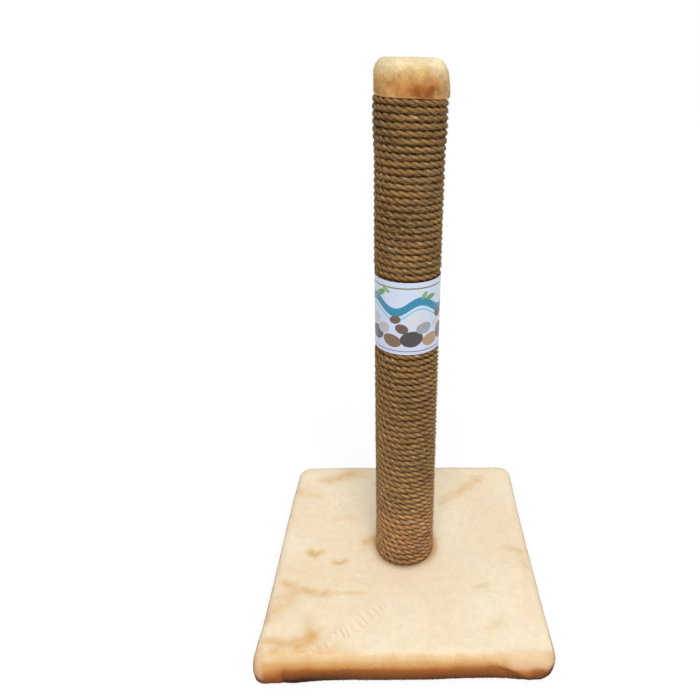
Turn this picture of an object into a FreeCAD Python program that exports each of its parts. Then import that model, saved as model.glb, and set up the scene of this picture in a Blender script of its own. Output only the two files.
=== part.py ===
import FreeCAD, Part
import math
import os
import re

import Sketcher

# A cat scratching post: a square plush-covered base, a cardboard post wound with jute rope, a
# paper label round the post and a plush-covered cap.  Millimetres.  The origin is the centre of
# the underside, +Z is up, and the front, with the seams and the lap of the label behind, is -Y.

SIZES = {
    # base
    "base_side": 350.0,              # square, over the plush
    "base_corner_radius": 22.0,      # of the base in plan
    "base_edge_radius": 13.0,        # of the soft upper edge
    "base_hem_radius": 4.0,          # where the plush turns under the board
    "base_plush": 5.0,               # thickness of the plush on the top and the sides
    "hem_thickness": 3.0,            # plush pressed flat under the board
    "hem_width": 40.0,               # how far the plush reaches in under the board
    "board_thickness": 18.0,
    "padding_thickness": 10.0,
    "padding_hole_clearance": 2.5,   # round the foot of the winding
    "flat_clearance": 0.3,           # between a soft piece and what it lies round
    # base staples
    "staple_crown": 10.0,
    "staple_wire": 0.6,
    "staple_width": 1.2,
    "staple_leg": 8.0,
    "staple_inset": 22.0,            # from the side of the base
    "staple_row": 240.0,             # from the first staple to the last of one side
    "staples_per_side": 7,
    "cut_clearance": 0.15,           # round a staple or a nail
    # bolt that draws the post down on the board
    "bolt_diameter": 8.0,
    "bolt_length": 60.0,
    "bolt_head_diameter": 17.0,
    "bolt_head_height": 3.4,
    "bolt_key_width": 5.0,
    "bolt_key_depth": 2.4,
    "bolt_hole_clearance": 0.3,
    "washer_diameter": 30.0,
    "washer_thickness": 2.0,
    "recess_clearance": 1.0,         # round the washer, in the underside of the board
    "recess_depth": 6.0,
    "nut_flange_diameter": 19.0,
    "nut_flange_thickness": 1.5,
    "nut_barrel_diameter": 10.0,
    "nut_barrel_length": 11.0,
    "nut_fit": 0.05,                 # between the bolt and the nut, and the nut and the plug
    "prong_length": 6.0,
    "prong_width": 3.0,
    "prong_thickness": 1.2,
    "prongs_per_nut": 4,
    # post
    "tube_diameter": 62.0,
    "tube_wall": 3.0,
    "plug_clearance": 0.3,
    "lower_plug_height": 40.0,
    "upper_plug_height": 25.0,
    "nail_diameter": 1.8,
    "nail_length": 16.0,
    "nail_head_diameter": 4.0,
    "nail_head_height": 0.8,
    "nails_per_plug": 4,
    # rope, wound in four stretches that meet end to end at the back of the post
    "rope_diameter": 7.5,
    "lower_turns": 19,
    "lower_pitch": 8.4,
    "middle_turns": 19,
    "middle_pitch": 8.4,
    "label_turns": 13,
    "label_pitch": 8.2,
    "upper_turns": 24,
    "upper_pitch": 7.95,
    # label
    "label_height": 90.0,
    "label_above_stretch": 8.4,      # from the start of the stretch of rope behind it
    "paper_thickness": 0.4,
    "lap_angle": 20.0,               # of the glued lap, in degrees
    # cap
    "cap_overhang": 0.6,             # past the widest turns of the rope
    "cap_plush": 4.0,
    "cap_turn_in": 3.0,              # plush under the padding
    "cap_padding_thickness": 16.0,   # above the end of the tube
    "cap_side_height": 36.0,         # from the topmost rope to the top of the cap
    "cap_edge_radius": 18.0,
    "cap_hem_radius": 2.5,
    "skirt_thickness": 0.8,          # plush drawn thin between the tube and the rope
    "skirt_height": 22.0,
    "cap_staple_crown": 6.0,
    "cap_staple_wire": 0.4,
    "cap_staple_width": 0.8,
    "cap_staple_leg": 3.0,
    "cap_staple_drop": 12.0,         # below the cap
    "cap_staples_round": 6,
}

DERIVED = {
    "board_bottom": "hem_thickness",
    "board_top": "board_bottom + board_thickness",
    "padding_top": "board_top + padding_thickness",
    "base_top": "padding_top + base_plush",
    "cavity_side": "base_side - 2 * base_plush",
    "board_side": "cavity_side - 2 * flat_clearance",
    "recess_top": "board_bottom + recess_depth",
    "washer_bottom": "recess_top - washer_thickness",
    "tube_radius": "tube_diameter / 2",
    "bore_radius": "tube_radius - tube_wall",
    "plug_radius": "bore_radius - plug_clearance",
    "rope_radius": "rope_diameter / 2",
    "turn_radius": "tube_radius + flat_clearance + rope_radius",
    "winding_radius": "turn_radius + rope_radius",
    "skirt_radius": "tube_radius + flat_clearance + skirt_thickness",
    "wide_turn_radius": "skirt_radius + flat_clearance + rope_radius",
    "wide_winding_radius": "wide_turn_radius + rope_radius",
    "rope_start": "board_top + flat_clearance + rope_radius",
    "middle_start": "rope_start + lower_turns * lower_pitch",
    "label_start": "middle_start + middle_turns * middle_pitch",
    "upper_start": "label_start + label_turns * label_pitch",
    "rope_end": "upper_start + upper_turns * upper_pitch",
    "label_bottom": "label_start + label_above_stretch",
    "label_top": "label_bottom + label_height",
    "label_inner_radius": "winding_radius + flat_clearance",
    "cap_bottom": "rope_end + rope_radius + flat_clearance",
    "cap_radius": "wide_winding_radius + cap_overhang",
    "cap_top": "cap_bottom + cap_side_height",
    "cap_padding_top": "cap_top - cap_plush",
    "cap_padding_bottom": "cap_bottom + cap_turn_in",
    "tube_top": "cap_padding_top - cap_padding_thickness",
    "skirt_bottom": "cap_bottom - skirt_height",
    "lower_plug_top": "board_top + lower_plug_height",
    "upper_plug_bottom": "tube_top - upper_plug_height",
    "barrel_bottom": "lower_plug_top - nut_barrel_length",
}

FRONT_TO_BACK = 90.0                 # the back of the post, in degrees from +X
THROUGH = 5.0                        # how far a cutting solid runs past the face that it opens

doc = FreeCAD.newDocument("scratching_post")


# ---------------------------------------------------------------- named sizes

def make_sheet():
    """Put each driving size in a cell of its own, under its name."""
    sheet = doc.addObject("Spreadsheet::Sheet", "Sizes")
    for row, (alias, size) in enumerate(SIZES.items(), start=1):
        sheet.set(f"A{row}", alias)
        sheet.set(f"B{row}", str(size))
        sheet.setAlias(f"B{row}", alias)
    doc.recompute()
    return sheet


def owned(formula):
    """Write each named size of a formula with the object that holds it."""
    def owner(match):
        word = match.group(0)
        if word in SIZES:
            return "Sizes." + word
        if word in DERIVED:
            return "Derived." + word
        return word
    return re.sub(r"[a-z_]+", owner, formula)


def make_derived():
    """Hold the levels and radii that follow from the sheet, each bound to its formula."""
    holder = doc.addObject("App::VarSet", "Derived")
    for alias in DERIVED:
        holder.addProperty("App::PropertyFloat", alias)
    for alias, formula in DERIVED.items():
        text = re.sub(r"\bDerived\.", "", owned(formula))
        holder.setExpression(alias, text)
    doc.recompute()
    return holder


sheet = make_sheet()
derived = make_derived()


def size(alias):
    """The present value of a named size, in millimetres or as a count."""
    return getattr(derived, alias) if alias in DERIVED else sheet.get(alias)


def bind(item, **formulas):
    """Bind properties of an object to formulas of the named sizes."""
    for name, formula in formulas.items():
        item.setExpression(name, owned(formula))


def bind_place(item, x="0", y="0", z="0"):
    """Bind the place of an object to formulas of the named sizes."""
    for axis, formula in (("x", x), ("y", y), ("z", z)):
        item.setExpression("Placement.Base." + axis, owned(formula))


# ---------------------------------------------------------------- ways of building

def cylinder(name, radius, bottom, top):
    """An upright cylinder on the axis of the post."""
    item = doc.addObject("Part::Cylinder", name)
    bind(item, Radius=radius, Height=f"({top}) - ({bottom})")
    bind_place(item, z=bottom)
    return item


def fuse(name, *pieces):
    item = doc.addObject("Part::MultiFuse", name)
    item.Shapes = list(pieces)
    return item


def cut(name, base, tool):
    item = doc.addObject("Part::Cut", name)
    item.Base = base
    item.Tool = tool
    return item


def new_body(name):
    body = doc.addObject("PartDesign::Body", name)
    body.AllowCompound = True
    return body


def origin_part(body, role):
    """A plane or an axis of the body's own origin."""
    return [part for part in body.Origin.OriginFeatures if part.Role == role][0]


def sketch_at(body, name, distance, plane="XY_Plane", rise="0"):
    """An empty sketch in the body, at a distance from a plane of its origin."""
    sketch = body.newObject("Sketcher::SketchObject", name)
    sketch.AttachmentSupport = (origin_part(body, plane), [""])
    sketch.MapMode = "FlatFace"
    sketch.setExpression("AttachmentOffset.Base.y", owned(rise))
    sketch.setExpression("AttachmentOffset.Base.z", owned(distance))
    return sketch


def name_constraint(sketch, index, name, formula):
    sketch.renameConstraint(index, name)
    sketch.setExpression("Constraints." + name, owned(formula))


def square_sketch(body, name, side, height):
    """A square centred on the axis of the post."""
    sketch = sketch_at(body, name, height)
    half = size("base_side") / 2
    corners = [(-half, -half), (half, -half), (half, half), (-half, half)]
    count = len(corners)
    for index in range(count):
        start = FreeCAD.Vector(*corners[index], 0)
        end = FreeCAD.Vector(*corners[(index + 1) % count], 0)
        sketch.addGeometry(Part.LineSegment(start, end), False)
    for index in range(count):
        joined = (index + 1) % count
        sketch.addConstraint(Sketcher.Constraint("Coincident", index, 2, joined, 1))
    for index, kind in enumerate(("Horizontal", "Vertical", "Horizontal", "Vertical")):
        sketch.addConstraint(Sketcher.Constraint(kind, index))
    sketch.addConstraint(Sketcher.Constraint("Symmetric", 0, 1, 1, 2, -1, 1))
    along = sketch.addConstraint(Sketcher.Constraint("DistanceX", 0, 1, 0, 2, 2 * half))
    name_constraint(sketch, along, "along", side)
    across = sketch.addConstraint(Sketcher.Constraint("DistanceY", 1, 1, 1, 2, 2 * half))
    name_constraint(sketch, across, "across", side)
    return sketch


def circle_sketch(body, name, radius, distance, plane="XY_Plane", rise="0"):
    """A circle on the axis of the post, or on a level line at the given rise."""
    sketch = sketch_at(body, name, distance, plane, rise)
    start_radius = 10.0
    circle = Part.Circle(FreeCAD.Vector(), FreeCAD.Vector(0, 0, 1), start_radius)
    sketch.addGeometry(circle, False)
    sketch.addConstraint(Sketcher.Constraint("Coincident", 0, 3, -1, 1))
    index = sketch.addConstraint(Sketcher.Constraint("Radius", 0, start_radius))
    name_constraint(sketch, index, "round", radius)
    return sketch


def pad(body, name, sketch, height):
    item = body.newObject("PartDesign::Pad", name)
    item.Profile = sketch
    bind(item, Length=height)
    return item


def pocket(body, name, sketch, depth):
    """Cut upwards from the plane of the sketch, and make sure that something was cut."""
    before = body.Shape.Volume
    item = body.newObject("PartDesign::Pocket", name)
    item.Profile = sketch
    item.Reversed = True
    bind(item, Length=depth)
    doc.recompute()
    if item.Shape.Volume >= before:
        raise RuntimeError(name + " cuts nothing")
    return item


def upright_edges(shape):
    """Names of the straight edges that run up."""
    names = []
    for index, edge in enumerate(shape.Edges, start=1):
        box = edge.BoundBox
        if box.ZLength > 0.9 * edge.Length and len(edge.Vertexes) == 2:
            names.append(f"Edge{index}")
    return names


def level_face(shape, highest):
    """Name of the level face at the top or at the bottom of a shape."""
    box = shape.BoundBox
    level = box.ZMax if highest else box.ZMin
    near = 1e-4
    for index, face in enumerate(shape.Faces, start=1):
        if face.BoundBox.ZLength < near and abs(face.BoundBox.ZMin - level) < near:
            return f"Face{index}"
    raise RuntimeError("no level face")


def round_off(body, name, feature, places, radius):
    item = body.newObject("PartDesign::Fillet", name)
    item.Base = (feature, places)
    bind(item, Radius=radius)
    doc.recompute()
    return item


def box_in(body, name, x, y, z):
    """A box in a body, each of x, y and z a pair of formulas: from and to."""
    item = body.newObject("PartDesign::AdditiveBox", name)
    spans = [f"({high}) - ({low})" for low, high in (x, y, z)]
    bind(item, Length=spans[0], Width=spans[1], Height=spans[2])
    bind_place(item, x=x[0], y=y[0], z=z[0])
    return item


def rod_in(body, name, radius, start, end, height):
    """A level cylinder in a body, along X, from one distance from the axis to another."""
    plan = circle_sketch(body, name + "_plan", radius, start, plane="YZ_Plane", rise=height)
    return pad(body, name, plan, f"({end}) - ({start})")


def repeat_round(body, name, features, count, row=None):
    """Repeat features round the axis of the post, each as a row along X where one is given."""
    around = body.newObject("PartDesign::PolarPattern", name + "_round")
    around.Axis = (origin_part(body, "Z_Axis"), [""])
    around.Angle = 360
    bind(around, Occurrences=count)
    if row is None:
        around.Originals = features
        body.Tip = around
        return around
    line = body.newObject("PartDesign::LinearPattern", name + "_line")
    line.Direction = (origin_part(body, "X_Axis"), [""])
    bind(line, Length=row[0], Occurrences=row[1])
    both = body.newObject("PartDesign::MultiTransform", name + "_rows")
    both.Originals = features
    both.Transformations = [line, around]
    body.Tip = both
    return both


# ---------------------------------------------------------------- fasteners

def base_staple_group(name, clearance):
    """Staples up through the hem into the board, in a row on each side of the base."""
    body = new_body(name)
    grow = clearance
    middle_x = "-staple_row / 2"
    middle_y = "-(base_side / 2 - staple_inset)"
    half_crown = f"(staple_crown / 2 + {grow})"
    half_width = f"(staple_width / 2 + {grow})"
    crown_bottom = f"(hem_thickness / 3 - {grow})"
    crown_top = f"(hem_thickness / 3 + staple_wire + {grow})"
    leg_top = f"(hem_thickness / 3 + staple_leg + {grow})"
    depth = (f"{middle_y} - {half_width}", f"{middle_y} + {half_width}")
    wire = f"(staple_wire + {grow})"
    crown = box_in(body, name + "_crown",
                   (f"{middle_x} - {half_crown}", f"{middle_x} + {half_crown}"),
                   depth, (crown_bottom, crown_top))
    left_leg = box_in(body, name + "_left_leg",
                      (f"{middle_x} - {half_crown}", f"{middle_x} - {half_crown} + {wire}"),
                      depth, (crown_bottom, leg_top))
    right_leg = box_in(body, name + "_right_leg",
                       (f"{middle_x} + {half_crown} - {wire}", f"{middle_x} + {half_crown}"),
                       depth, (crown_bottom, leg_top))
    four_sides = "4"
    repeat_round(body, name, [crown, left_leg, right_leg], four_sides,
                 row=("staple_row", "staples_per_side"))
    return body


def staple_dimples(name):
    """The dimples that the staples' crowns press into the hem, open below."""
    body = new_body(name)
    half_crown = "(staple_crown / 2 + cut_clearance)"
    half_width = "(staple_width / 2 + cut_clearance)"
    middle_y = "-(base_side / 2 - staple_inset)"
    dimple = box_in(body, name + "_dimple",
                    (f"-staple_row / 2 - {half_crown}", f"-staple_row / 2 + {half_crown}"),
                    (f"{middle_y} - {half_width}", f"{middle_y} + {half_width}"),
                    (f"-{THROUGH}", "hem_thickness / 3"))
    four_sides = "4"
    repeat_round(body, name, [dimple], four_sides, row=("staple_row", "staples_per_side"))
    return body


def cap_staple_group(name, clearance, crown_reach):
    """Staples through the skirt of the cap cover into the tube, under the topmost rope."""
    body = new_body(name)
    grow = clearance
    middle_z = "(cap_bottom - cap_staple_drop)"
    seat = "(skirt_radius - cap_staple_wire / 3)"
    half_crown = f"(cap_staple_crown / 2 + {grow})"
    wire = f"(cap_staple_wire + {grow})"
    height = (f"{middle_z} - cap_staple_width / 2 - {grow}",
              f"{middle_z} + cap_staple_width / 2 + {grow}")
    crown_span = (f"{seat} - cap_staple_wire - {grow}", f"{seat} + {crown_reach}")
    leg_span = (f"{seat} - cap_staple_leg - {grow}", f"{seat}")
    crown = box_in(body, name + "_crown", crown_span,
                   (f"-{half_crown}", half_crown), height)
    low_leg = box_in(body, name + "_low_leg", leg_span,
                     (f"-{half_crown}", f"-{half_crown} + {wire}"), height)
    high_leg = box_in(body, name + "_high_leg", leg_span,
                      (f"{half_crown} - {wire}", half_crown), height)
    repeat_round(body, name, [crown, low_leg, high_leg], "cap_staples_round")
    return body


def nail_group(name, height, clearance, head_reach):
    """Nails through the wall of the tube into a plug, their heads sunk level with the tube."""
    body = new_body(name)
    head_seat = f"tube_radius - nail_head_height - {clearance}"
    head = rod_in(body, name + "_head", f"nail_head_diameter / 2 + {clearance}",
                  head_seat, f"tube_radius + {head_reach}", height)
    shank = rod_in(body, name + "_shank", f"nail_diameter / 2 + {clearance}",
                   f"tube_radius - nail_length - {clearance}", head_seat, height)
    repeat_round(body, name, [head, shank], "nails_per_plug")
    return body


def prong_group(name, clearance):
    """The prongs under the flange of the nut, as one set of boxes."""
    body = new_body(name)
    outer = f"nut_flange_diameter / 2 - prong_thickness / 4 + {clearance}"
    inner = f"nut_flange_diameter / 2 - prong_thickness * 5 / 4 - {clearance}"
    half_width = f"(prong_width / 2 + {clearance})"
    prong = box_in(body, name + "_prong", (inner, outer), (f"-{half_width}", half_width),
                   (f"lower_plug_top - prong_length - {clearance}", "lower_plug_top"))
    repeat_round(body, name, [prong], "prongs_per_nut")
    return body


def make_bolt():
    """Flat-headed bolt with a six-sided key hole, its head up against the washer."""
    head = cylinder("bolt_head", "bolt_head_diameter / 2",
                    "washer_bottom - bolt_head_height", "washer_bottom")
    shank = cylinder("bolt_shank", "bolt_diameter / 2", "washer_bottom",
                     "washer_bottom + bolt_length")
    key = doc.addObject("Part::Prism", "bolt_key")
    key.Polygon = 6
    bind(key, Circumradius="bolt_key_width / sqrt(3)", Height=f"bolt_key_depth + {THROUGH}")
    bind_place(key, z=f"washer_bottom - bolt_head_height - {THROUGH}")
    return cut("base_bolt", fuse("bolt_blank", head, shank), key)


def make_washer():
    disc = cylinder("washer_disc", "washer_diameter / 2", "washer_bottom", "recess_top")
    hole = cylinder("washer_hole", "bolt_diameter / 2 + bolt_hole_clearance",
                    "washer_bottom", "recess_top")
    return cut("base_washer", disc, hole)


def make_nut():
    """Pronged nut: a flange on the top of the plug, a barrel in it and prongs driven down."""
    flange = cylinder("nut_flange", "nut_flange_diameter / 2", "lower_plug_top",
                      "lower_plug_top + nut_flange_thickness")
    barrel = cylinder("nut_barrel", "nut_barrel_diameter / 2", "barrel_bottom",
                      "lower_plug_top")
    prongs = prong_group("nut_prongs", "0")
    bore = cylinder("nut_bore", "bolt_diameter / 2 + nut_fit", "barrel_bottom",
                    "lower_plug_top + nut_flange_thickness")
    return cut("pronged_nut", fuse("nut_blank", flange, barrel, prongs), bore)


# ---------------------------------------------------------------- base

def soft_block(name, side, corner, edge, bottom, height):
    """A square block with rounded corners and a rounded upper edge."""
    body = new_body(name)
    block = pad(body, name + "_block", square_sketch(body, name + "_plan", side, bottom), height)
    doc.recompute()
    corners = round_off(body, name + "_corners", block, upright_edges(block.Shape), corner)
    top = [level_face(corners.Shape, highest=True)]
    round_off(body, name + "_edge", corners, top, edge)
    return body


def make_board(staple_cuts):
    """Chipboard, with the bolt's hole and the washer's recess in its underside."""
    body = new_body("board_blank")
    plan = square_sketch(body, "board_plan", "board_side", "board_bottom")
    block = pad(body, "board_block", plan, "board_thickness")
    doc.recompute()
    round_off(body, "board_corners", block, upright_edges(block.Shape),
              "base_corner_radius - base_plush - flat_clearance")
    hole = circle_sketch(body, "bolt_hole_plan", "bolt_diameter / 2 + bolt_hole_clearance",
                         "board_bottom")
    pocket(body, "bolt_hole", hole, "board_thickness")
    recess = circle_sketch(body, "recess_plan", "washer_diameter / 2 + recess_clearance",
                           "board_bottom")
    pocket(body, "washer_recess", recess, "recess_depth")
    return cut("base_board", body, staple_cuts)


def make_padding():
    """Foam sheet on the board, cut out round the foot of the post."""
    foam = soft_block("padding_blank", "board_side",
                      "base_corner_radius - base_plush - flat_clearance",
                      "base_edge_radius - base_plush", "board_top", "padding_thickness")
    hole = cylinder("padding_hole", "winding_radius + padding_hole_clearance",
                    f"board_top - {THROUGH}", f"padding_top + {THROUGH}")
    return cut("base_padding", foam, hole)


def make_base_cover(staple_cuts):
    """Plush over the base, with a round hole for the post and a hem under the board."""
    outside = soft_block("cover_outside", "base_side", "base_corner_radius",
                         "base_edge_radius", "0", "base_top")
    bottom = [level_face(outside.Shape, highest=False)]
    round_off(outside, "cover_hem_edge", outside.Tip, bottom, "base_hem_radius")
    inside = soft_block("cover_inside", "cavity_side", "base_corner_radius - base_plush",
                        "base_edge_radius - base_plush", "hem_thickness",
                        "padding_top - hem_thickness")
    window = new_body("cover_window")
    window_plan = square_sketch(window, "window_plan", "base_side - 2 * hem_width",
                                f"-{THROUGH}")
    window_block = pad(window, "window_block", window_plan, f"hem_thickness + 2 * {THROUGH}")
    doc.recompute()
    round_off(window, "window_corners", window_block, upright_edges(window_block.Shape),
              "base_corner_radius / 2")
    hole = cylinder("cover_hole", "winding_radius + flat_clearance",
                    f"padding_top - {THROUGH}", f"base_top + {THROUGH}")
    dimples = staple_dimples("hem_dimples")
    hollow = fuse("cover_hollow", inside, window, hole, dimples, staple_cuts)
    return cut("base_cover", outside, hollow)


# ---------------------------------------------------------------- post

def make_tube(lower_nail_cuts, upper_nail_cuts, cap_staple_cuts):
    """Cardboard tube from the board up into the cap."""
    wall = cylinder("tube_wall_outside", "tube_radius", "board_top", "tube_top")
    bore = cylinder("tube_bore", "bore_radius", "board_top", "tube_top")
    hollow = fuse("tube_hollow", bore, lower_nail_cuts, upper_nail_cuts, cap_staple_cuts)
    return cut("post_tube", wall, hollow)


def make_lower_plug(nail_cuts):
    """Wooden plug in the foot of the tube, bored for the bolt and the nut."""
    disc = cylinder("lower_plug_disc", "plug_radius", "board_top", "lower_plug_top")
    bolt_way = cylinder("lower_plug_bolt_way", "bolt_diameter / 2 + bolt_hole_clearance",
                        "board_top", "lower_plug_top")
    nut_way = cylinder("lower_plug_nut_way", "nut_barrel_diameter / 2 + nut_fit",
                       "barrel_bottom - bolt_hole_clearance", "lower_plug_top")
    prong_ways = prong_group("lower_plug_prong_ways", "nut_fit")
    return cut("lower_plug", disc,
               fuse("lower_plug_ways", bolt_way, nut_way, prong_ways, nail_cuts))


def make_upper_plug(nail_cuts):
    """Wooden plug level with the top end of the tube."""
    disc = cylinder("upper_plug_disc", "plug_radius", "upper_plug_bottom", "tube_top")
    return cut("upper_plug", disc, nail_cuts)


# ---------------------------------------------------------------- rope

def turn_radius_at(height):
    """Radius of the rope's line: wider where the rope passes over the skirt of the cap."""
    full = size("skirt_bottom") - size("rope_radius") - size("flat_clearance")
    start = full - 2 * size("upper_pitch")
    share = min(max((height - start) / (full - start), 0.0), 1.0)
    eased = share * share * (3 - 2 * share)
    return size("turn_radius") + eased * (size("wide_turn_radius") - size("turn_radius"))


def rope_point(start, pitch, turn):
    """A point of the rope's line, which climbs clockwise seen from above, from the back."""
    height = start + pitch * turn
    angle = math.radians(FRONT_TO_BACK - 360.0 * turn)
    radius = turn_radius_at(height)
    return FreeCAD.Vector(radius * math.cos(angle), radius * math.sin(angle), height)


def rope_direction(start, pitch, turn):
    step = 1e-4
    ahead = rope_point(start, pitch, turn + step)
    behind = rope_point(start, pitch, turn - step)
    return (ahead - behind).normalize()


def arc_to(start, corner, end):
    """Arc from start to end whose end tangents meet at the corner, as an edge."""
    middle = (start + end) * 0.5
    half_angle = math.acos(min(1.0, (end - start).Length / 2 / (corner - start).Length))
    rise = math.tan(half_angle / 2) / math.tan(half_angle)
    crest = middle + (corner - middle) * rise
    return Part.Arc(start, crest, end).toShape()


def biarc(start, start_way, end, end_way):
    """Two arcs that leave start and reach end in the given directions."""
    across = end - start
    both = start_way + end_way
    spread = 2 * (1 - start_way.dot(end_way))
    along = across.dot(both)
    reach = (math.sqrt(along * along + spread * across.dot(across)) - along) / spread
    first_corner = start + start_way * reach
    second_corner = end - end_way * reach
    joint = (first_corner + second_corner) * 0.5
    return [arc_to(start, first_corner, joint), arc_to(joint, second_corner, end)]


def rope_line(start, pitch, turns):
    """The line of one stretch of rope: straight ends one diameter long, and quarter turns."""
    quarters = int(turns * 4)
    straight = size("rope_diameter")
    places = [rope_point(start, pitch, index / 4) for index in range(quarters + 1)]
    ways = [rope_direction(start, pitch, index / 4) for index in range(quarters + 1)]
    first, last = places[0], places[-1]
    places[0] = first + ways[0] * straight
    places[-1] = last - ways[-1] * straight
    edges = [Part.LineSegment(first, places[0]).toShape()]
    for index in range(quarters):
        edges += biarc(places[index], ways[index], places[index + 1], ways[index + 1])
    edges.append(Part.LineSegment(places[-1], last).toShape())
    return Part.Wire(edges)


def least_gap(line, turns):
    """Least gap between neighbouring turns of one stretch, measured on points of its line."""
    per_turn = 48
    points = line.discretize(Number=int(turns * per_turn) + 1)
    nearest = math.inf
    for index, point in enumerate(points):
        for other in points[index + per_turn // 2:index + 2 * per_turn]:
            nearest = min(nearest, point.distanceToPoint(other))
    return nearest - size("rope_diameter")


def make_rope(name, start, pitch, turns):
    """One stretch of rope, an unbroken round tube along its line."""
    line = rope_line(size(start), size(pitch), size(turns))
    first = line.Edges[0]
    section = Part.Circle(first.valueAt(first.FirstParameter),
                          first.tangentAt(first.FirstParameter), size("rope_radius"))
    tube = line.makePipeShell([Part.Wire(section.toShape())], True, False)
    gap = least_gap(line, size(turns))
    area = math.pi * size("rope_radius") ** 2
    share = tube.Volume / (area * line.Length)
    print(f"{name}: length {line.Length:.0f}, least gap {gap:.2f}, volume share {share:.4f}")
    item = doc.addObject("Part::Feature", name)
    item.Shape = tube
    item.Placement = FreeCAD.Placement()
    return item


# ---------------------------------------------------------------- label

def make_label():
    """Paper sleeve round the rope, its free end lapped over at the back and glued."""
    outer = "label_inner_radius + paper_thickness"
    ring = cut("label_ring", cylinder("label_outside", outer, "label_bottom", "label_top"),
               cylinder("label_inside", "label_inner_radius", "label_bottom", "label_top"))
    lap_outside = cylinder("lap_outside", f"{outer} + paper_thickness", "label_bottom",
                           "label_top")
    bind(lap_outside, Angle="lap_angle")
    lap_inside = cylinder("lap_inside", outer, "label_bottom", "label_top")
    lap = cut("label_lap", lap_outside, lap_inside)
    turn = FreeCAD.Rotation(FreeCAD.Vector(0, 0, 1), FRONT_TO_BACK - size("lap_angle") / 2)
    lap.Placement = FreeCAD.Placement(FreeCAD.Vector(), turn)
    return fuse("label_sleeve", ring, lap)


# ---------------------------------------------------------------- cap

def dome(name, radius, edge, bottom, top):
    """A round block with a rounded upper edge."""
    body = new_body(name)
    drum = pad(body, name + "_drum", circle_sketch(body, name + "_plan", radius, bottom),
               f"({top}) - ({bottom})")
    doc.recompute()
    round_off(body, name + "_edge", drum, [level_face(drum.Shape, highest=True)], edge)
    return body


def tube_space(name, bottom):
    """The room that the tube takes in the cap."""
    return cylinder(name, "tube_radius + flat_clearance", bottom, "tube_top")


def make_cap_padding():
    """Foam over the end of the tube and down its side as far as the plush turns in."""
    foam = dome("cap_padding_blank", "cap_radius - cap_plush - flat_clearance",
                "cap_edge_radius - cap_plush", "cap_padding_bottom", "cap_padding_top")
    return cut("cap_padding", foam,
               tube_space("cap_padding_space", f"cap_padding_bottom - {THROUGH}"))


def make_cap_cover(staple_cuts):
    """Plush over the padding, drawn in below it to a thin skirt under the topmost rope."""
    outside = dome("cap_outside", "cap_radius", "cap_edge_radius", "cap_bottom", "cap_top")
    bottom = [level_face(outside.Shape, highest=False)]
    round_off(outside, "cap_hem_edge", outside.Tip, bottom, "cap_hem_radius")
    skirt = cylinder("cap_skirt", "skirt_radius", "skirt_bottom", "cap_padding_bottom")
    inside = dome("cap_inside", "cap_radius - cap_plush", "cap_edge_radius - cap_plush",
                  "cap_padding_bottom", "cap_padding_top")
    space = tube_space("cap_cover_space", f"skirt_bottom - {THROUGH}")
    return cut("cap_cover", fuse("cap_blank", outside, skirt),
               fuse("cap_hollow", inside, space, staple_cuts))


# ---------------------------------------------------------------- the whole post

def build():
    """Make every sub-part and return them in order, from the base up."""
    staple_cuts = base_staple_group("base_staple_cuts", "cut_clearance")
    cap_staple_cuts = cap_staple_group("cap_staple_cuts", "cut_clearance", THROUGH)
    lower_nail_height = "board_top + lower_plug_height / 2"
    upper_nail_height = "tube_top - upper_plug_height / 2"
    lower_nail_cuts = nail_group("lower_nail_cuts", lower_nail_height, "cut_clearance", THROUGH)
    upper_nail_cuts = nail_group("upper_nail_cuts", upper_nail_height, "cut_clearance", THROUGH)
    return [
        make_board(staple_cuts),
        make_padding(),
        make_base_cover(staple_cuts),
        base_staple_group("base_staples", "0"),
        make_bolt(),
        make_washer(),
        make_nut(),
        make_lower_plug(lower_nail_cuts),
        nail_group("lower_plug_nails", lower_nail_height, "0", "0"),
        make_tube(lower_nail_cuts, upper_nail_cuts, cap_staple_cuts),
        make_upper_plug(upper_nail_cuts),
        nail_group("upper_plug_nails", upper_nail_height, "0", "0"),
        make_rope("rope_lower", "rope_start", "lower_pitch", "lower_turns"),
        make_rope("rope_middle", "middle_start", "middle_pitch", "middle_turns"),
        make_rope("rope_behind_label", "label_start", "label_pitch", "label_turns"),
        make_rope("rope_upper", "upper_start", "upper_pitch", "upper_turns"),
        make_label(),
        make_cap_padding(),
        make_cap_cover(cap_staple_cuts),
        cap_staple_group("cap_staples", "0", "0"),
    ]


def check(subparts):
    """Stop where an object failed or a sub-part has no sound shape."""
    for item in doc.Objects:
        if "Invalid" in item.State or "Error" in item.State:
            raise RuntimeError(f"{item.Label} failed: {item.State}")
    for item in subparts:
        if item.Shape.isNull() or not item.Shape.isValid():
            raise RuntimeError(item.Label + " has no valid shape")
        if not item.Shape.Solids:
            raise RuntimeError(item.Label + " holds no solid")


def write(subparts):
    folder = "parts"
    os.makedirs(folder, exist_ok=True)
    for item in subparts:
        item.Shape.exportStep(f"{folder}/{item.Label}.step")
        box = item.Shape.BoundBox
        print(f"{item.Label}: {len(item.Shape.Solids)} solids, "
              f"z {box.ZMin:.1f} to {box.ZMax:.1f}, width {box.XLength:.1f}")


subparts = build()
doc.recompute()
check(subparts)
write(subparts)
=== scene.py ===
import math

import bpy
import numpy as np
from mathutils import Matrix, Vector


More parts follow.
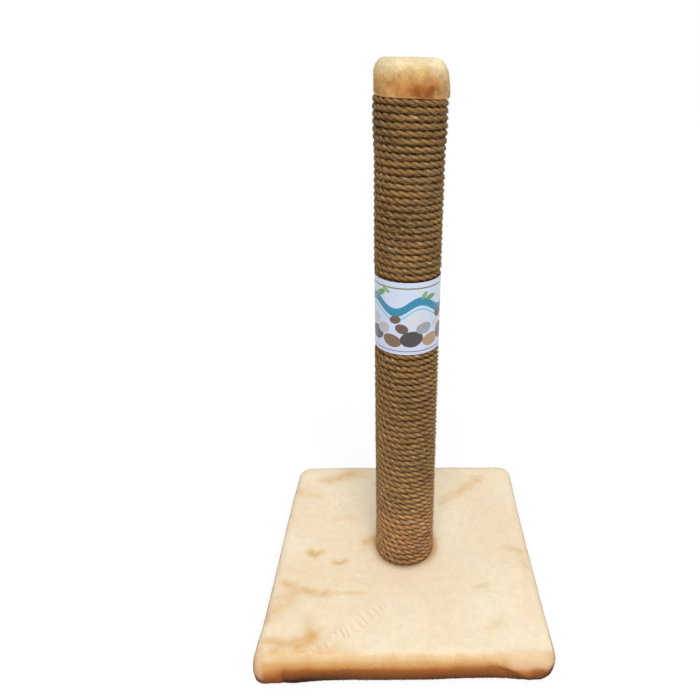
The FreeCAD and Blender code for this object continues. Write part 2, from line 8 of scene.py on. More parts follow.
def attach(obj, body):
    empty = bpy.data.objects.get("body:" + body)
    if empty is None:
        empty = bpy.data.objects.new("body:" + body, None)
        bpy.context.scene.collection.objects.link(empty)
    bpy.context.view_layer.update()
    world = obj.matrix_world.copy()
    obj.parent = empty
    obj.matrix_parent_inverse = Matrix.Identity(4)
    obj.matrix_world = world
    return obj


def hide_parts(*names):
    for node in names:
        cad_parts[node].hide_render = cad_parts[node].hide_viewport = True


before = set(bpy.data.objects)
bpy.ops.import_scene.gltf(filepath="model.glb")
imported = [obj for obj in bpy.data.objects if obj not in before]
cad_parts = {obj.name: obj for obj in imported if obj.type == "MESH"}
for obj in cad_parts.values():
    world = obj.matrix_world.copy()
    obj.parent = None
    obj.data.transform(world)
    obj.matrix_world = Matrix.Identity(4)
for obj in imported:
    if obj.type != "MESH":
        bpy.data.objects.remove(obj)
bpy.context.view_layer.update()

# Cat scratching post: plush base, rope-wound post, paper sleeve and plush cap.
# Sizes are in millimetres here and become metres when a mesh is made.  +Z is up, -Y is the front.
MM = 0.001
TAU = 2 * math.pi
SEED = 7


def place_object(name, data):
    """An object of the scene that shows this data."""
    made = bpy.data.objects.new(name, data)
    bpy.context.scene.collection.objects.link(made)
    return made


# ---------------------------------------------------------------- camera
PHOTO = 700                        # the photograph's width and height in pixels
FOCAL_PIXELS = 604.1
CENTRE_PIXEL = (412.37, 280.11)    # where the camera's axis meets the picture
CAMERA_AT = np.array((-11.48, -674.54, 680.41))
CAMERA_YAW = 0.0255
CAMERA_PITCH = 0.3526
CAMERA_ROLL = -0.0146
SENSOR = 36.0


def camera_axes():
    """Right, down and forward of the camera as unit vectors."""
    level = math.cos(CAMERA_PITCH)
    forward = np.array((math.sin(CAMERA_YAW) * level, math.cos(CAMERA_YAW) * level,
                        -math.sin(CAMERA_PITCH)))
    right = np.array((math.cos(CAMERA_YAW), -math.sin(CAMERA_YAW), 0.0))
    down = np.cross(forward, right)
    turn_cos, turn_sin = math.cos(CAMERA_ROLL), math.sin(CAMERA_ROLL)
    return turn_cos * right + turn_sin * down, turn_cos * down - turn_sin * right, forward


def make_camera():
    """The camera that took the photograph, as its outlines and its cropping place it."""
    right, down, forward = camera_axes()
    data = bpy.data.cameras.new("camera")
    data.sensor_width = SENSOR
    data.lens = FOCAL_PIXELS / PHOTO * SENSOR
    data.shift_x = (PHOTO / 2 - CENTRE_PIXEL[0]) / PHOTO
    data.shift_y = (CENTRE_PIXEL[1] - PHOTO / 2) / PHOTO
    data.clip_start = 0.01
    data.clip_end = 50
    camera = place_object("camera", data)
    turn = Matrix([Vector(right), Vector(-down), Vector(-forward)]).transposed()
    camera.matrix_world = Matrix.Translation(Vector(CAMERA_AT * MM)) @ turn.to_4x4()
    bpy.context.scene.camera = camera


def to_pixels(points):
    """The pixels at which the photograph shows these points."""
    right, down, forward = camera_axes()
    away = points - CAMERA_AT
    depth = away @ forward
    return np.stack([CENTRE_PIXEL[0] + FOCAL_PIXELS * (away @ right) / depth,
                     CENTRE_PIXEL[1] + FOCAL_PIXELS * (away @ down) / depth], 1)


def near_stroke(pixels, stroke, reach):
    """1 on a stroke through these pixels, falling away over its reach across and down."""
    places, stops = pixels / reach, np.array(stroke, float) / reach
    nearest = ((places - stops[0]) ** 2).sum(1)
    for start, end in zip(stops[:-1], stops[1:]):
        step = end - start
        share = np.clip((places - start) @ step / (step @ step), 0, 1)
        nearest = np.minimum(nearest, ((places - start - share[:, None] * step) ** 2).sum(1))
    return np.exp(-nearest)


# ---------------------------------------------------------------- numbers
def smooth(low, high, value):
    """0 below low, 1 above high and a smooth step between."""
    share = np.clip((value - low) / (high - low), 0, 1)
    return share * share * (3 - 2 * share)


def lattice(x, y, z, seed):
    """A repeatable number from 0 to 1 for each point of a lattice of whole numbers."""
    mixed = (x * 374761393 + y * 668265263 + z * 1440662683 + seed * 974711) & 0xFFFFFFFF
    mixed = ((mixed ^ (mixed >> 13)) * 1274126177) & 0xFFFFFFFF
    return ((mixed ^ (mixed >> 16)) & 0xFFFF) / 65535.0


def noise(points, size, seed):
    """Smooth noise from -1 to 1 whose features have this size, which may differ by axis."""
    places = np.asarray(points, float) / size
    cells = np.floor(places).astype(np.int64)
    part = places - cells
    part = part * part * (3 - 2 * part)
    total = np.zeros(len(places))
    for corner in range(8):
        step = np.array((corner & 1, corner >> 1 & 1, corner >> 2 & 1))
        weight = np.prod(np.where(step, part, 1 - part), axis=1)
        total += weight * lattice(*(cells + step).T, seed)
    return 2 * total - 1


def shades_at(heights, knots):
    """Linear colours at these heights from knots of height and colour, highest first."""
    levels = np.array([height for height, _ in knots])[::-1]
    shades = np.array([linear(*shown) for _, shown in knots])[::-1]
    return np.stack([np.interp(heights, levels, shades[:, i]) for i in range(3)], 1)


def at_knots(value, knots):
    """The number at each value on straight lines between knots, lowest first."""
    return np.interp(value, *zip(*knots))


def bell(value, middle, width):
    """1 at middle, falling away over this width on both sides."""
    return np.exp(-((value - middle) / width) ** 2)


def unit(vectors):
    """The vectors, each made 1 long."""
    return vectors / np.maximum(np.linalg.norm(vectors, axis=-1, keepdims=True), 1e-9)


def facing(angle):
    """Level vectors of length 1 at these angles."""
    return np.stack([np.cos(angle), np.sin(angle), np.zeros_like(angle)], 1)


# ---------------------------------------------------------------- meshes
def grid(rows, columns, round_rows=False, round_columns=False):
    """Faces of a grid of points, kept row by row, closed up in either direction if asked."""
    row = np.arange(rows if round_rows else rows - 1)[:, None]
    column = np.arange(columns if round_columns else columns - 1)[None, :]
    next_row, next_column = (row + 1) % rows, (column + 1) % columns
    corners = (row * columns + column, row * columns + next_column,
               next_row * columns + next_column, next_row * columns + column)
    return np.stack([np.broadcast_to(c, (row.size, column.size)) for c in corners],
                    -1).reshape(-1, 4)


def tube_faces(points, columns):
    """Faces round rings of points that follow each other, and a face over each end."""
    rows = len(points) // columns
    ring = np.arange(columns)[None, :]
    sides = grid(rows, columns, round_columns=True)[:, ::-1]
    return [sides, ring, (rows - 1) * columns + ring[:, ::-1]]


def make_mesh(name, points, faces):
    """A mesh of points in millimetres and arrays of faces, each with its own count of corners."""
    mesh = bpy.data.meshes.new(name)
    corners = np.concatenate([f.ravel() for f in faces]).astype(np.int32)
    sizes = np.concatenate([np.full(len(f), f.shape[1]) for f in faces])
    mesh.vertices.add(len(points))
    mesh.vertices.foreach_set("co", (np.asarray(points) * MM).astype(np.float32).ravel())
    mesh.loops.add(len(corners))
    mesh.loops.foreach_set("vertex_index", corners)
    mesh.polygons.add(len(sizes))
    starts = np.concatenate([[0], np.cumsum(sizes)[:-1]]).astype(np.int32)
    mesh.polygons.foreach_set("loop_start", starts)
    mesh.update(calc_edges=True)
    mesh.polygons.foreach_set("use_smooth", np.full(len(sizes), True))
    return mesh


def make_piece(name, mesh, material, slot, *nodes):
    """A piece that rides with the post and stands for these nodes."""
    piece = place_object(name, mesh)
    mesh.materials.append(material)
    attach(piece, "root")
    if nodes:
        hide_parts(*nodes)
    return piece


def give_map(mesh, name, corners):
    """A map of two numbers for each face corner."""
    layer = mesh.uv_layers.new(name=name)
    layer.uv.foreach_set("vector", np.asarray(corners, np.float32).ravel())


def cell_map(item, count, within):
    """Places on the flat map for items that have one cell each of a square grid."""
    cells = math.ceil(math.sqrt(count))
    place = np.stack([item % cells, item // cells], 1)
    return (place + 0.15 + 0.7 * within) / cells


def give_tint(mesh, colours):
    """A linear colour for each point, read by the material as Tint."""
    layer = mesh.color_attributes.new("Tint", "FLOAT_COLOR", "POINT")
    full = np.ones((len(colours), 4), np.float32)
    full[:, :3] = colours
    layer.data.foreach_set("color", full.ravel())


def corner_indices(mesh):
    """The point at each face corner."""
    index = np.empty(len(mesh.loops), np.int32)
    mesh.loops.foreach_get("vertex_index", index)
    return index


def point_normals(mesh):
    """The normal at each point."""
    normals = np.empty(len(mesh.vertices) * 3, np.float32)
    mesh.vertex_normals.foreach_get("vector", normals)
    return normals.reshape(-1, 3)


def mark_sharp(mesh, chosen):
    """Sharp edges, where chosen is true of an edge's two points."""
    ends = np.empty(len(mesh.edges) * 2, np.int32)
    mesh.edges.foreach_get("vertices", ends)
    layer = mesh.attributes.new("sharp_edge", "BOOLEAN", "EDGE")
    layer.data.foreach_set("value", chosen(ends.reshape(-1, 2)))


def linear(*colours):
    """Linear values of colours written from 0 to 255 as a screen shows them."""
    share = np.array(colours, float) / 255
    return np.where(share <= 0.04045, share / 12.92, ((share + 0.055) / 1.055) ** 2.4)


def turn_to(tint, shown, share):
    """Turns linear colours into one written from 0 to 255, by a share for each point."""
    tint += (linear(*shown) - tint) * share[:, None]


# ---------------------------------------------------------------- materials
def new_material(name, roughness, **others):
    """A material, its nodes, and its shader with these values for its inputs."""
    material = bpy.data.materials.new(name)
    material.use_nodes = True
    shader = material.node_tree.nodes["Principled BSDF"]
    shader.inputs["Roughness"].default_value = roughness
    for key, value in others.items():
        shader.inputs[key.replace("_", " ")].default_value = value
    return material, material.node_tree, shader


def add(tree, kind, values=None, **settings):
    """A node with these settings, and values or links for its inputs by name or number."""
    made = tree.nodes.new("ShaderNode" + kind)
    for key, value in settings.items():
        setattr(made, key, value)
    for key, value in (values or {}).items():
        if isinstance(value, bpy.types.NodeSocket):
            tree.links.new(value, made.inputs[key])
        else:
            made.inputs[key].default_value = value
    return made


def sums(tree, operation, *terms, clamp=False):
    """The result of one sum on numbers or links."""
    return add(tree, "Math", dict(enumerate(terms)), operation=operation,
               use_clamp=clamp).outputs[0]


def blend_colours(tree, share, first, second, kind="MIX"):
    """first turned into second by share, from 0 to 1."""
    made = add(tree, "Mix", {0: share, 6: first, 7: second}, data_type="RGBA", blend_type=kind)
    return made.outputs[2]


def colour(*shown):
    """A colour socket's value for a colour written from 0 to 255."""
    return (*linear(*shown), 1.0)


def scaled_place(tree, scale):
    """Object coordinates in metres, times a scale for each axis."""
    place = add(tree, "TexCoord").outputs["Object"]
    return add(tree, "Mapping", {"Vector": place, "Scale": scale}).outputs[0]


def cloud_at(tree, place, scale, detail):
    """Noise from 0 to 1."""
    return add(tree, "TexNoise", {"Vector": place, "Scale": scale, "Detail": detail}).outputs[0]


def paint(tree, shader, shade):
    """The shader's colour comes from this shade."""
    tree.links.new(shade, shader.inputs["Base Color"])


def paint_tint(tree, shader, level):
    """The shader's colour is the tint of each place, times this level."""
    tint = add(tree, "Attribute", attribute_name="Tint").outputs["Color"]
    grey = add(tree, "CombineColor", {0: level, 1: level, 2: level}).outputs[0]
    paint(tree, shader, blend_colours(tree, 1.0, tint, grey, "MULTIPLY"))


def seen_directly(tree):
    """1 for rays from the camera, and for those that mirrors and glass send on."""
    rays = add(tree, "LightPath").outputs
    turned = sums(tree, "MAXIMUM", rays["Is Glossy Ray"], rays["Is Transmission Ray"])
    return sums(tree, "MAXIMUM", rays["Is Camera Ray"], turned)


def bumped(tree, shader, height, distance, strength=1.0):
    """The shader's normal comes from this height, whose 1 stands for distance in millimetres."""
    bump = add(tree, "Bump", {"Height": height, "Distance": distance * MM, "Strength": strength})
    tree.links.new(bump.outputs[0], shader.inputs["Normal"])


def plush_material():
    """Short pile: the tint of each place, crossed by fine fibres, with a soft sheen."""
    material, tree, shader = new_material(
        "plush", 0.95, Specular_IOR_Level=0.05, Sheen_Weight=0.08, Sheen_Roughness=0.5,
        Sheen_Tint=colour(255, 240, 214))
    place = scaled_place(tree, (1, 1, 1))
    fibres = cloud_at(tree, place, 1400, 2)
    tufts = cloud_at(tree, place, 260, 3)
    light = sums(tree, "MULTIPLY_ADD", fibres, 0.10, 0.93)
    shade = sums(tree, "MULTIPLY_ADD", tufts, 0.10, -0.04)
    paint_tint(tree, shader, sums(tree, "ADD", light, shade))
    height = sums(tree, "MULTIPLY_ADD", fibres, 0.4, tufts)
    bumped(tree, shader, height, 0.5, 0.5)
    return material


def jute_material():
    """Twisted jute: the tint of each place, with fibres along the strands."""
    material, tree, shader = new_material("jute", 0.8, Specular_IOR_Level=0.12)
    strand = add(tree, "UVMap", uv_map="Strand").outputs[0]
    long_place = add(tree, "Mapping", {"Vector": strand, "Scale": (9, 60, 1),
                                       "Rotation": (0, 0, 0.10)}).outputs[0]
    fine = cloud_at(tree, long_place, 12, 3)
    yarn = cloud_at(tree, long_place, 3.1, 2)
    level = sums(tree, "MULTIPLY_ADD", fine, 1.1, 0.10)
    paint_tint(tree, shader, sums(tree, "MULTIPLY_ADD", yarn, 0.7, level))
    height = sums(tree, "MULTIPLY_ADD", fine, 0.5, yarn)
    bumped(tree, shader, height, 0.7, 0.9)
    return material


def foam_material():
    """Open-cell foam sheet."""
    material, tree, shader = new_material("foam", 0.9)
    place = scaled_place(tree, (1, 1, 1))
    cells = add(tree, "TexVoronoi", {"Vector": place, "Scale": 900}).outputs["Distance"]
    cloud = cloud_at(tree, place, 30, 3)
    share = sums(tree, "MULTIPLY_ADD", cells, 0.7, sums(tree, "MULTIPLY", cloud, 0.3))
    paint(tree, shader, blend_colours(tree, share, colour(238, 228, 196), colour(206, 190, 150)))
    bumped(tree, shader, cells, 0.4)
    return material


def board_material():
    """Pressed chips of wood in glue."""
    material, tree, shader = new_material("chipboard", 0.75)
    place = scaled_place(tree, (1, 2.2, 1))
    chips = add(tree, "TexVoronoi", {"Vector": place, "Scale": 150, "Randomness": 1.0})
    cloud = cloud_at(tree, place, 400, 4)
    each = add(tree, "SeparateColor", {0: chips.outputs["Color"]}).outputs[0]
    share = sums(tree, "MULTIPLY_ADD", each, 0.75, sums(tree, "MULTIPLY", cloud, 0.25))
    ramp = add(tree, "ValToRGB", {0: share})
    ramp.color_ramp.elements[0].color = colour(122, 88, 52)
    ramp.color_ramp.elements[1].color = colour(219, 186, 134)
    middle = ramp.color_ramp.elements.new(0.5)
    middle.color = colour(184, 145, 96)
    paint(tree, shader, ramp.outputs[0])
    bumped(tree, shader, share, 0.25)
    return material


def wood_material():
    """Softwood with rings of growth."""
    material, tree, shader = new_material("plug_wood", 0.7)
    place = scaled_place(tree, (1, 1, 0.12))
    rings = add(tree, "TexWave", {"Vector": place, "Scale": 110, "Distortion": 2.5, "Detail": 2,
                                  "Detail Scale": 1.5}, wave_type="RINGS",
                rings_direction="Z").outputs[1]
    grain = cloud_at(tree, place, 700, 3)
    share = sums(tree, "MULTIPLY_ADD", rings, 0.7, sums(tree, "MULTIPLY", grain, 0.3))
    paint(tree, shader, blend_colours(tree, share, colour(226, 188, 134), colour(176, 126, 74)))
    bumped(tree, shader, share, 0.15)
    return material


CARD_PITCH = 0.11                  # metres along the tube for one turn of its seam


def card_material():
    """Card tube wound from strips, with a faint spiral seam."""
    material, tree, shader = new_material("tube_card", 0.85)
    place = add(tree, "TexCoord").outputs["Object"]
    axes = add(tree, "SeparateXYZ", {0: place})
    turn = sums(tree, "ARCTAN2", axes.outputs[1], axes.outputs[0])
    climb = sums(tree, "MULTIPLY_ADD", axes.outputs[2], TAU / CARD_PITCH, turn)
    seam = sums(tree, "POWER", sums(tree, "ABSOLUTE", sums(tree, "COSINE", sums(
        tree, "MULTIPLY", climb, 0.5))), 60.0)
    fibre = cloud_at(tree, place, 600, 4)
    paper = blend_colours(tree, fibre, colour(160, 134, 100), colour(126, 101, 72))
    paint(tree, shader, blend_colours(tree, seam, paper, colour(92, 72, 50)))
    bumped(tree, shader, sums(tree, "MULTIPLY_ADD", seam, -0.8, fibre), 0.2)
    return material


def metal_material(name, dark, pale, scale):
    """Steel whose brightness and roughness vary over the surface."""
    material, tree, shader = new_material(name, 0.35, Metallic=1.0)
    cloud = cloud_at(tree, scaled_place(tree, scale), 1, 4)
    paint(tree, shader, blend_colours(tree, cloud, colour(*dark), colour(*pale)))
    tree.links.new(sums(tree, "MULTIPLY_ADD", cloud, 0.3, 0.2), shader.inputs["Roughness"])
    bumped(tree, shader, cloud, 0.05)
    return material


# ---------------------------------------------------------------- rope
SLEEVE_BOTTOM, SLEEVE_TOP = 352.65, 442.65
ROPE_START = 25.05                 # height of the rope's line where it starts, at the back
ROPE_STRETCHES = ((19, 8.4), (19, 8.4), (13, 8.2), (24, 7.95))   # turns and climb of each turn
SLEEVE_FIRST, SLEEVE_LAST, LAST_TURN = 38, 51, 75   # turns under the paper, and the end
MAP_UNIT = 100                     # millimetres of rope or paper for 1 on their maps
LINE_RADIUS = 35.05
WIDE_RADIUS = 36.5                 # over the skirt of the cap's cover
WIDE_FROM, WIDE_FULL = 577.0, 609.0
ROPE_RADIUS = 3.86
FULLNESS = 0.36                    # the rope is this much fuller where no paper presses on it
LINE_OUT = 0.45                    # and its line lies this much further out there
LEAN_RIGHT = 0.8                   # how far the top of the winding stands to the right
LEAN_FROM, LEAN_FULL = 450.0, 620.0
LAY = 28.0                         # along the rope for one full twist of a strand
STRANDS = 3
STRAND_SHARE = 0.53                # a strand's radius as a share of the rope's
STRAND_REACH = math.radians(108)   # how far round a strand shows, each way from its crest
STRAND_POINTS = 9
STRAND_BENDS = np.tile(np.linspace(-STRAND_REACH, STRAND_REACH, STRAND_POINTS, endpoint=False),
                       STRANDS)    # where each point of a ring lies on its own strand
NOISE_APART = 500.0                # between one strand's noise and the next one's
ROPE_STEP = 1.1
ROPE_STRIPS = 10                   # rows of the rope's flat map
ROPE_COLOURS = ((137, 104, 61), (147, 112, 69), (184, 133, 86))   # above, middle and foot; lighter and warmer at the foot as painted bounce light from the base
GAP_SHADE_COLOUR = (68, 38, 13)
UNDERSIDE_SHADE_COLOUR = (80, 48, 18)
RED_COLOUR = (128, 78, 50)
GLINT_COLOUR = (216, 196, 160)
ROPE_PIECES = (                    # name, node, first and last turn
    ("rope_lower_a", "rope_lower", 0, 10),
    ("rope_lower_b", "rope_lower", 10, 19),
    ("rope_middle_a", "rope_middle", 19, 29),
    ("rope_middle_b", "rope_middle", 29, SLEEVE_FIRST),
    ("rope_behind_label", "rope_behind_label", SLEEVE_FIRST, SLEEVE_LAST),
    ("rope_upper_a", "rope_upper", SLEEVE_LAST, 63),
    ("rope_upper_b", "rope_upper", 63, LAST_TURN),
)


def rope_height(turn):
    """Height of the rope's line after so many turns."""
    ends, heights = [0], [ROPE_START]
    for turns, climb in ROPE_STRETCHES:
        ends.append(ends[-1] + turns)
        heights.append(heights[-1] + turns * climb)
    return np.interp(turn, ends, heights)


def unpressed(height):
    """1 where the rope lies free and 0 where the paper sleeve presses on it."""
    return 1 - smooth(SLEEVE_BOTTOM - 7, SLEEVE_BOTTOM - 1, height) * smooth(
        SLEEVE_TOP + 7, SLEEVE_TOP + 1, height)


def winding_radius(height):
    """How far the rope's line lies from the middle of the post."""
    wide = (WIDE_RADIUS - LINE_RADIUS) * smooth(WIDE_FROM, WIDE_FULL, height)
    return LINE_RADIUS + wide + LINE_OUT * unpressed(height)


def lean_at(height):
    """How far the winding stands to the right."""
    return LEAN_RIGHT * smooth(LEAN_FROM, LEAN_FULL, height)


def rope_frames(turn):
    """The rope's line at these turns, with its outward and upward directions."""
    height = rope_height(turn)
    outward = facing(math.pi / 2 - TAU * turn)
    line = outward * winding_radius(height)[:, None]
    line[:, 0] += lean_at(height)
    line[:, 2] = height
    line += outward * (0.16 * noise(line, 26, SEED))[:, None]
    line[:, 2] += 0.42 * noise(line, (32, 32, 11), SEED + 1)
    onward = unit(np.gradient(line, axis=0))
    upward = unit(np.cross(onward, outward))
    return line, unit(np.cross(upward, onward)), upward


def rope_tint(points, crease, depth, upness):
    """Olive brown above, lighter and warmer near the foot as painted bounce light, with painted shade
    below each turn, in the creases and in the deep gaps, and painted highlights on the upper sides of
    the strands.
    """
    height = points[:, 2]
    olive, warm, red = (linear(*shown) for shown in ROPE_COLOURS)
    # Lighter and warmer lower down, most at the foot: painted bounce light from the cream base.
    tint = olive + (warm - olive) * (1 - smooth(120, 420, height))[:, None]
    tint += (red - tint) * (0.9 * (1 - smooth(40, 190, height)))[:, None]
    blush = smooth(0.35, 0.8, noise(points, (24, 24, 9), SEED + 2))
    turn_to(tint, RED_COLOUR, 0.5 * blush)
    patches = 0.18 * noise(points, 34, SEED + 3) + 0.17 * noise(points, (12, 12, 5), SEED + 4)
    # Painted shade on the underside of each turn.
    turn_to(tint, UNDERSIDE_SHADE_COLOUR, 0.76 * smooth(0.35, -0.65, upness))
    fibres = 0.33 * noise(points, (2.6, 2.6, 1.3), SEED + 5)
    # Painted shade in the creases and the deep parts, and painted light on the upper side of each
    # turn.
    level = (1 + patches + fibres) * (1 - 0.48 * crease)
    level *= (1.16 - 0.62 * smooth(1.0, 4.2, depth)) * (1 + 0.12 * upness)
    shade = tint * level[:, None]
    # Painted highlights: pale glints on the upper, outer parts of the strands.
    glint = smooth(0.30, 0.75, noise(points, (3.4, 3.4, 1.5), SEED + 12))
    glint *= smooth(-0.1, 0.6, upness) * smooth(2.2, 1.0, depth)
    turn_to(shade, GLINT_COLOUR, 0.62 * glint)
    # Painted shade in the deep gaps between turns.
    turn_to(shade, GAP_SHADE_COLOUR, 0.60 * smooth(2.4, 4.6, depth))
    return np.clip(shade, 0.003, 1)


def rope_skin(line, outward, upward, size, twist):
    """Rings of points along the rope's line, on the outside of its three strands."""
    strand = np.repeat(np.arange(STRANDS), STRAND_POINTS)
    swell = [noise(line + NOISE_APART * number, (9, 9, 4), SEED + 11) for number in range(STRANDS)]
    swell = 1 + 0.07 * np.repeat(np.stack(swell, 1), STRAND_POINTS, axis=1)
    radius = size[:, None] * STRAND_SHARE * swell
    side = radius * np.sin(STRAND_BENDS)
    reach = size[:, None] * (1 - STRAND_SHARE) + radius * np.cos(STRAND_BENDS)
    turned = twist[:, None] + TAU * strand / STRANDS
    out = reach * np.cos(turned) - side * np.sin(turned)
    up = reach * np.sin(turned) + side * np.cos(turned)
    points = (line[:, None, :] + out[..., None] * outward[:, None, :]
              + up[..., None] * upward[:, None, :]).reshape(-1, 3)
    middle = np.repeat(line, len(STRAND_BENDS), axis=0)
    return points + unit(points - middle) * (0.12 * noise(points, 1.3, SEED + 8))[:, None]


def make_rope(name, node, first, last, material):
    """A stretch of three-strand rope as one closed skin that follows its strands."""
    length = (last - first) * TAU * LINE_RADIUS
    count = int(length / ROPE_STEP)
    turn = np.linspace(first, last, count)
    line, outward, upward = rope_frames(turn)
    along = turn * TAU * LINE_RADIUS
    twist = TAU * along / LAY + 0.35 * noise(line, 60, SEED + 6) + 0.4 * noise(line, 15, SEED + 9)
    size = ROPE_RADIUS * (1 + 0.02 * noise(line, 30, SEED + 7)) + FULLNESS * unpressed(line[:, 2])
    points = rope_skin(line, outward, upward, size, twist)
    columns = len(STRAND_BENDS)
    faces = tube_faces(points, columns)
    mesh = make_mesh(name, points, faces)
    middle = np.repeat(line, columns, axis=0)
    crease = np.tile(np.abs(STRAND_BENDS) / STRAND_REACH, count) ** 6
    front = np.repeat(winding_radius(line[:, 2]) + size, columns)
    depth = front - np.hypot(points[:, 0] - lean_at(middle[:, 2]), points[:, 1])
    upness = (points[:, 2] - middle[:, 2]) / np.repeat(size, columns)
    give_tint(mesh, rope_tint(points, crease, depth, upness))
    map_rope(mesh, faces[0], columns, along)
    mark_sharp(mesh, lambda ends: (ends[:, 0] % columns == ends[:, 1] % columns)
               & (ends[:, 0] % columns % STRAND_POINTS == 0))
    make_piece(name, mesh, material, "jute", node)


def map_rope(mesh, sides, columns, along):
    """A map along the strands, and a flat one of strips side by side with both ends beyond."""
    corner = corner_indices(mesh)
    row, column = corner // columns, corner % columns
    first_point = np.concatenate([np.repeat(sides.min(1), 4), np.zeros(2 * columns, int)])
    wide = np.where((column == 0) & (first_point % columns > 0), columns, column)
    give_map(mesh, "Strand", np.stack([along[row] / MAP_UNIT, wide / columns], 1))
    strip_rows = math.ceil((len(along) - 1) / ROPE_STRIPS)
    strip = first_point // columns // strip_rows
    across = (row - strip * strip_rows) / strip_rows
    up = (strip + 0.94 * wide / columns) / ROPE_STRIPS
    on_end = np.arange(len(corner)) >= len(corner) - 2 * columns
    end_turn = TAU * column / columns
    across = np.where(on_end, 0.985 + 0.01 * np.cos(end_turn), across * 0.97)
    up = np.where(on_end, 0.985 + 0.01 * np.sin(end_turn), up * 0.97)
    give_map(mesh, "OFBake", np.stack([across, up], 1))


FUZZ_COUNT = 8500
FUZZ_ROWS = 4                      # points along each loose fibre
FUZZ_ALONG = np.linspace(0, 1, FUZZ_ROWS)
FUZZ_THICK = (0.17, 0.08)          # of those that lie and those that stand
# Dull and pale; the lying fibres' paleness is partly painted highlight along the strands.
FUZZ_COLOURS = ((150, 118, 78), (206, 182, 142))


def fuzz_paths(rng, first, last):
    """Points along loose fibres, which of them lie, and how each starts and faces outward."""
    turn = np.sort(rng.random(FUZZ_COUNT)) * (last - first) + first
    outward = facing(math.pi / 2 - TAU * turn)
    onward = facing(-TAU * turn)
    height = rope_height(turn)
    radius = winding_radius(height)
    thick_rope = ROPE_RADIUS + FULLNESS * unpressed(height)
    lying = rng.random(FUZZ_COUNT) < 0.25
    tilt = rng.normal(0, 1, FUZZ_COUNT) * np.where(lying, 0.35, 0.9)
    off = np.stack([np.cos(tilt), np.sin(tilt)], 1) * (thick_rope * 0.99)[:, None]
    root = outward * (radius + off[:, 0])[:, None]
    root[:, 2] = height + off[:, 1]
    length = np.where(lying, 3 + 5 * rng.random(FUZZ_COUNT), 2 + 5 * rng.random(FUZZ_COUNT))
    rise = np.where(lying, 0.06, 0.15 + 0.45 * rng.random(FUZZ_COUNT))
    wander = np.where(lying, 0.25, 0.9) * rng.normal(0, 0.6, FUZZ_COUNT)
    sense = np.where(rng.random(FUZZ_COUNT) < 0.5, -1.0, 1.0)
    start = unit(onward * sense[:, None] + outward * rise[:, None]
                 + np.array((0, 0, 1.0)) * (wander - 0.25)[:, None])
    bend = 0.5 * rng.normal(size=(FUZZ_COUNT, 3)) - outward * (0.10 + 0.3 * lying)[:, None]
    path = (root[:, None] + start[:, None] * (length[:, None] * FUZZ_ALONG)[..., None]
            + bend[:, None] * (length[:, None] * FUZZ_ALONG ** 2 * 0.35)[..., None])
    away = np.linalg.norm(path[..., :2], axis=-1, keepdims=True)
    least = (radius + thick_rope * 0.9)[:, None, None]
    least = np.where(lying[:, None, None], least, 0)
    path[..., :2] *= np.maximum(away, least) / away
    path[..., 0] += lean_at(height)[:, None]
    inside = (path[:, :, 2] > SLEEVE_BOTTOM - 1.5) & (path[:, :, 2] < SLEEVE_TOP + 1.5)
    keep = ~inside.any(1)
    return path[keep], lying[keep], start[keep], outward[keep]


def make_rope_fuzz(name, first, last, seed, material):
    """Loose fibres that stand off the rope, and pale ones that lie along it, their paleness partly
    painted highlight.
    """
    rng = np.random.default_rng(seed)
    path, lying, start, outward = fuzz_paths(rng, first, last)
    count = len(path)
    thick = np.where(lying, *FUZZ_THICK)[:, None] * (1 - 0.7 * FUZZ_ALONG)
    across = unit(np.cross(start, outward))
    sides = np.stack([across, -across * 0.5 + outward * 0.86, -across * 0.5 - outward * 0.86], 1)
    points = path[:, :, None] + sides[:, None] * thick[..., None, None]
    base = np.arange(count)[:, None] * FUZZ_ROWS * 3
    quads = (base[..., None] + grid(FUZZ_ROWS, 3, round_columns=True)).reshape(-1, 4)
    root, tip = base + np.arange(3)[::-1], base + (FUZZ_ROWS - 1) * 3 + np.arange(3)
    mesh = make_mesh(name, points.reshape(-1, 3), [quads, root, tip])
    dull, pale = (linear(*shown) for shown in FUZZ_COLOURS)
    shade = dull + (pale - dull) * (0.25 + 0.75 * lying * rng.random(count))[:, None]
    give_tint(mesh, np.repeat(shade, FUZZ_ROWS * 3, axis=0))
    corner = corner_indices(mesh)
    fibre, place = corner // (FUZZ_ROWS * 3), corner % (FUZZ_ROWS * 3)
    give_map(mesh, "Strand", np.stack([place / MAP_UNIT, fibre * 0.37 % 1], 1))
    within = np.stack([place // 3 / (FUZZ_ROWS - 1), place % 3 / 2], 1)
    give_map(mesh, "OFBake", cell_map(fibre, count, within))
    make_piece(name, mesh, material, "jute")


# ---------------------------------------------------------------- base cover
BASE_HALF = 175.0
BASE_TOP = 36.0
BASE_CORNER = 16.0
EDGE_RADIUS = 13.0
HEM_EDGE = 4.0
HEM_WIDTH = 40.0
HEM_THICKNESS = 3.0
WINDOW_CORNER = 9.0
PLUSH = 5.0
FOOT_HOLE = 39.1
SIDE_POINTS = 150                  # points along a quarter of the base's outline


def outline(half, corner):
    """A rounded square's points at angles that match from one size to the next."""
    steps = (np.arange(SIDE_POINTS) + 0.5) / SIDE_POINTS
    straight = half - corner
    share = np.clip(steps * 1.3 - 0.15, 0, 1)
    along = (2 * share - 1) * straight
    bend = np.where(steps < 0.15 / 1.3, (steps * 1.3 - 0.15) / 0.15, 0)
    bend = np.where(steps > 1 - 0.15 / 1.3, (steps * 1.3 - 1.15) / 0.15, bend)
    turn = bend * math.pi / 4
    side = np.stack([half - corner + corner * np.cos(turn), along + corner * np.sin(turn)], 1)
    quarters = []
    for quarter in range(4):
        ahead, aside = facing(np.array((0, math.pi / 2)) + quarter * math.pi / 2)[:, :2]
        quarters.append(side @ np.array((ahead, aside)))
    return np.concatenate(quarters)


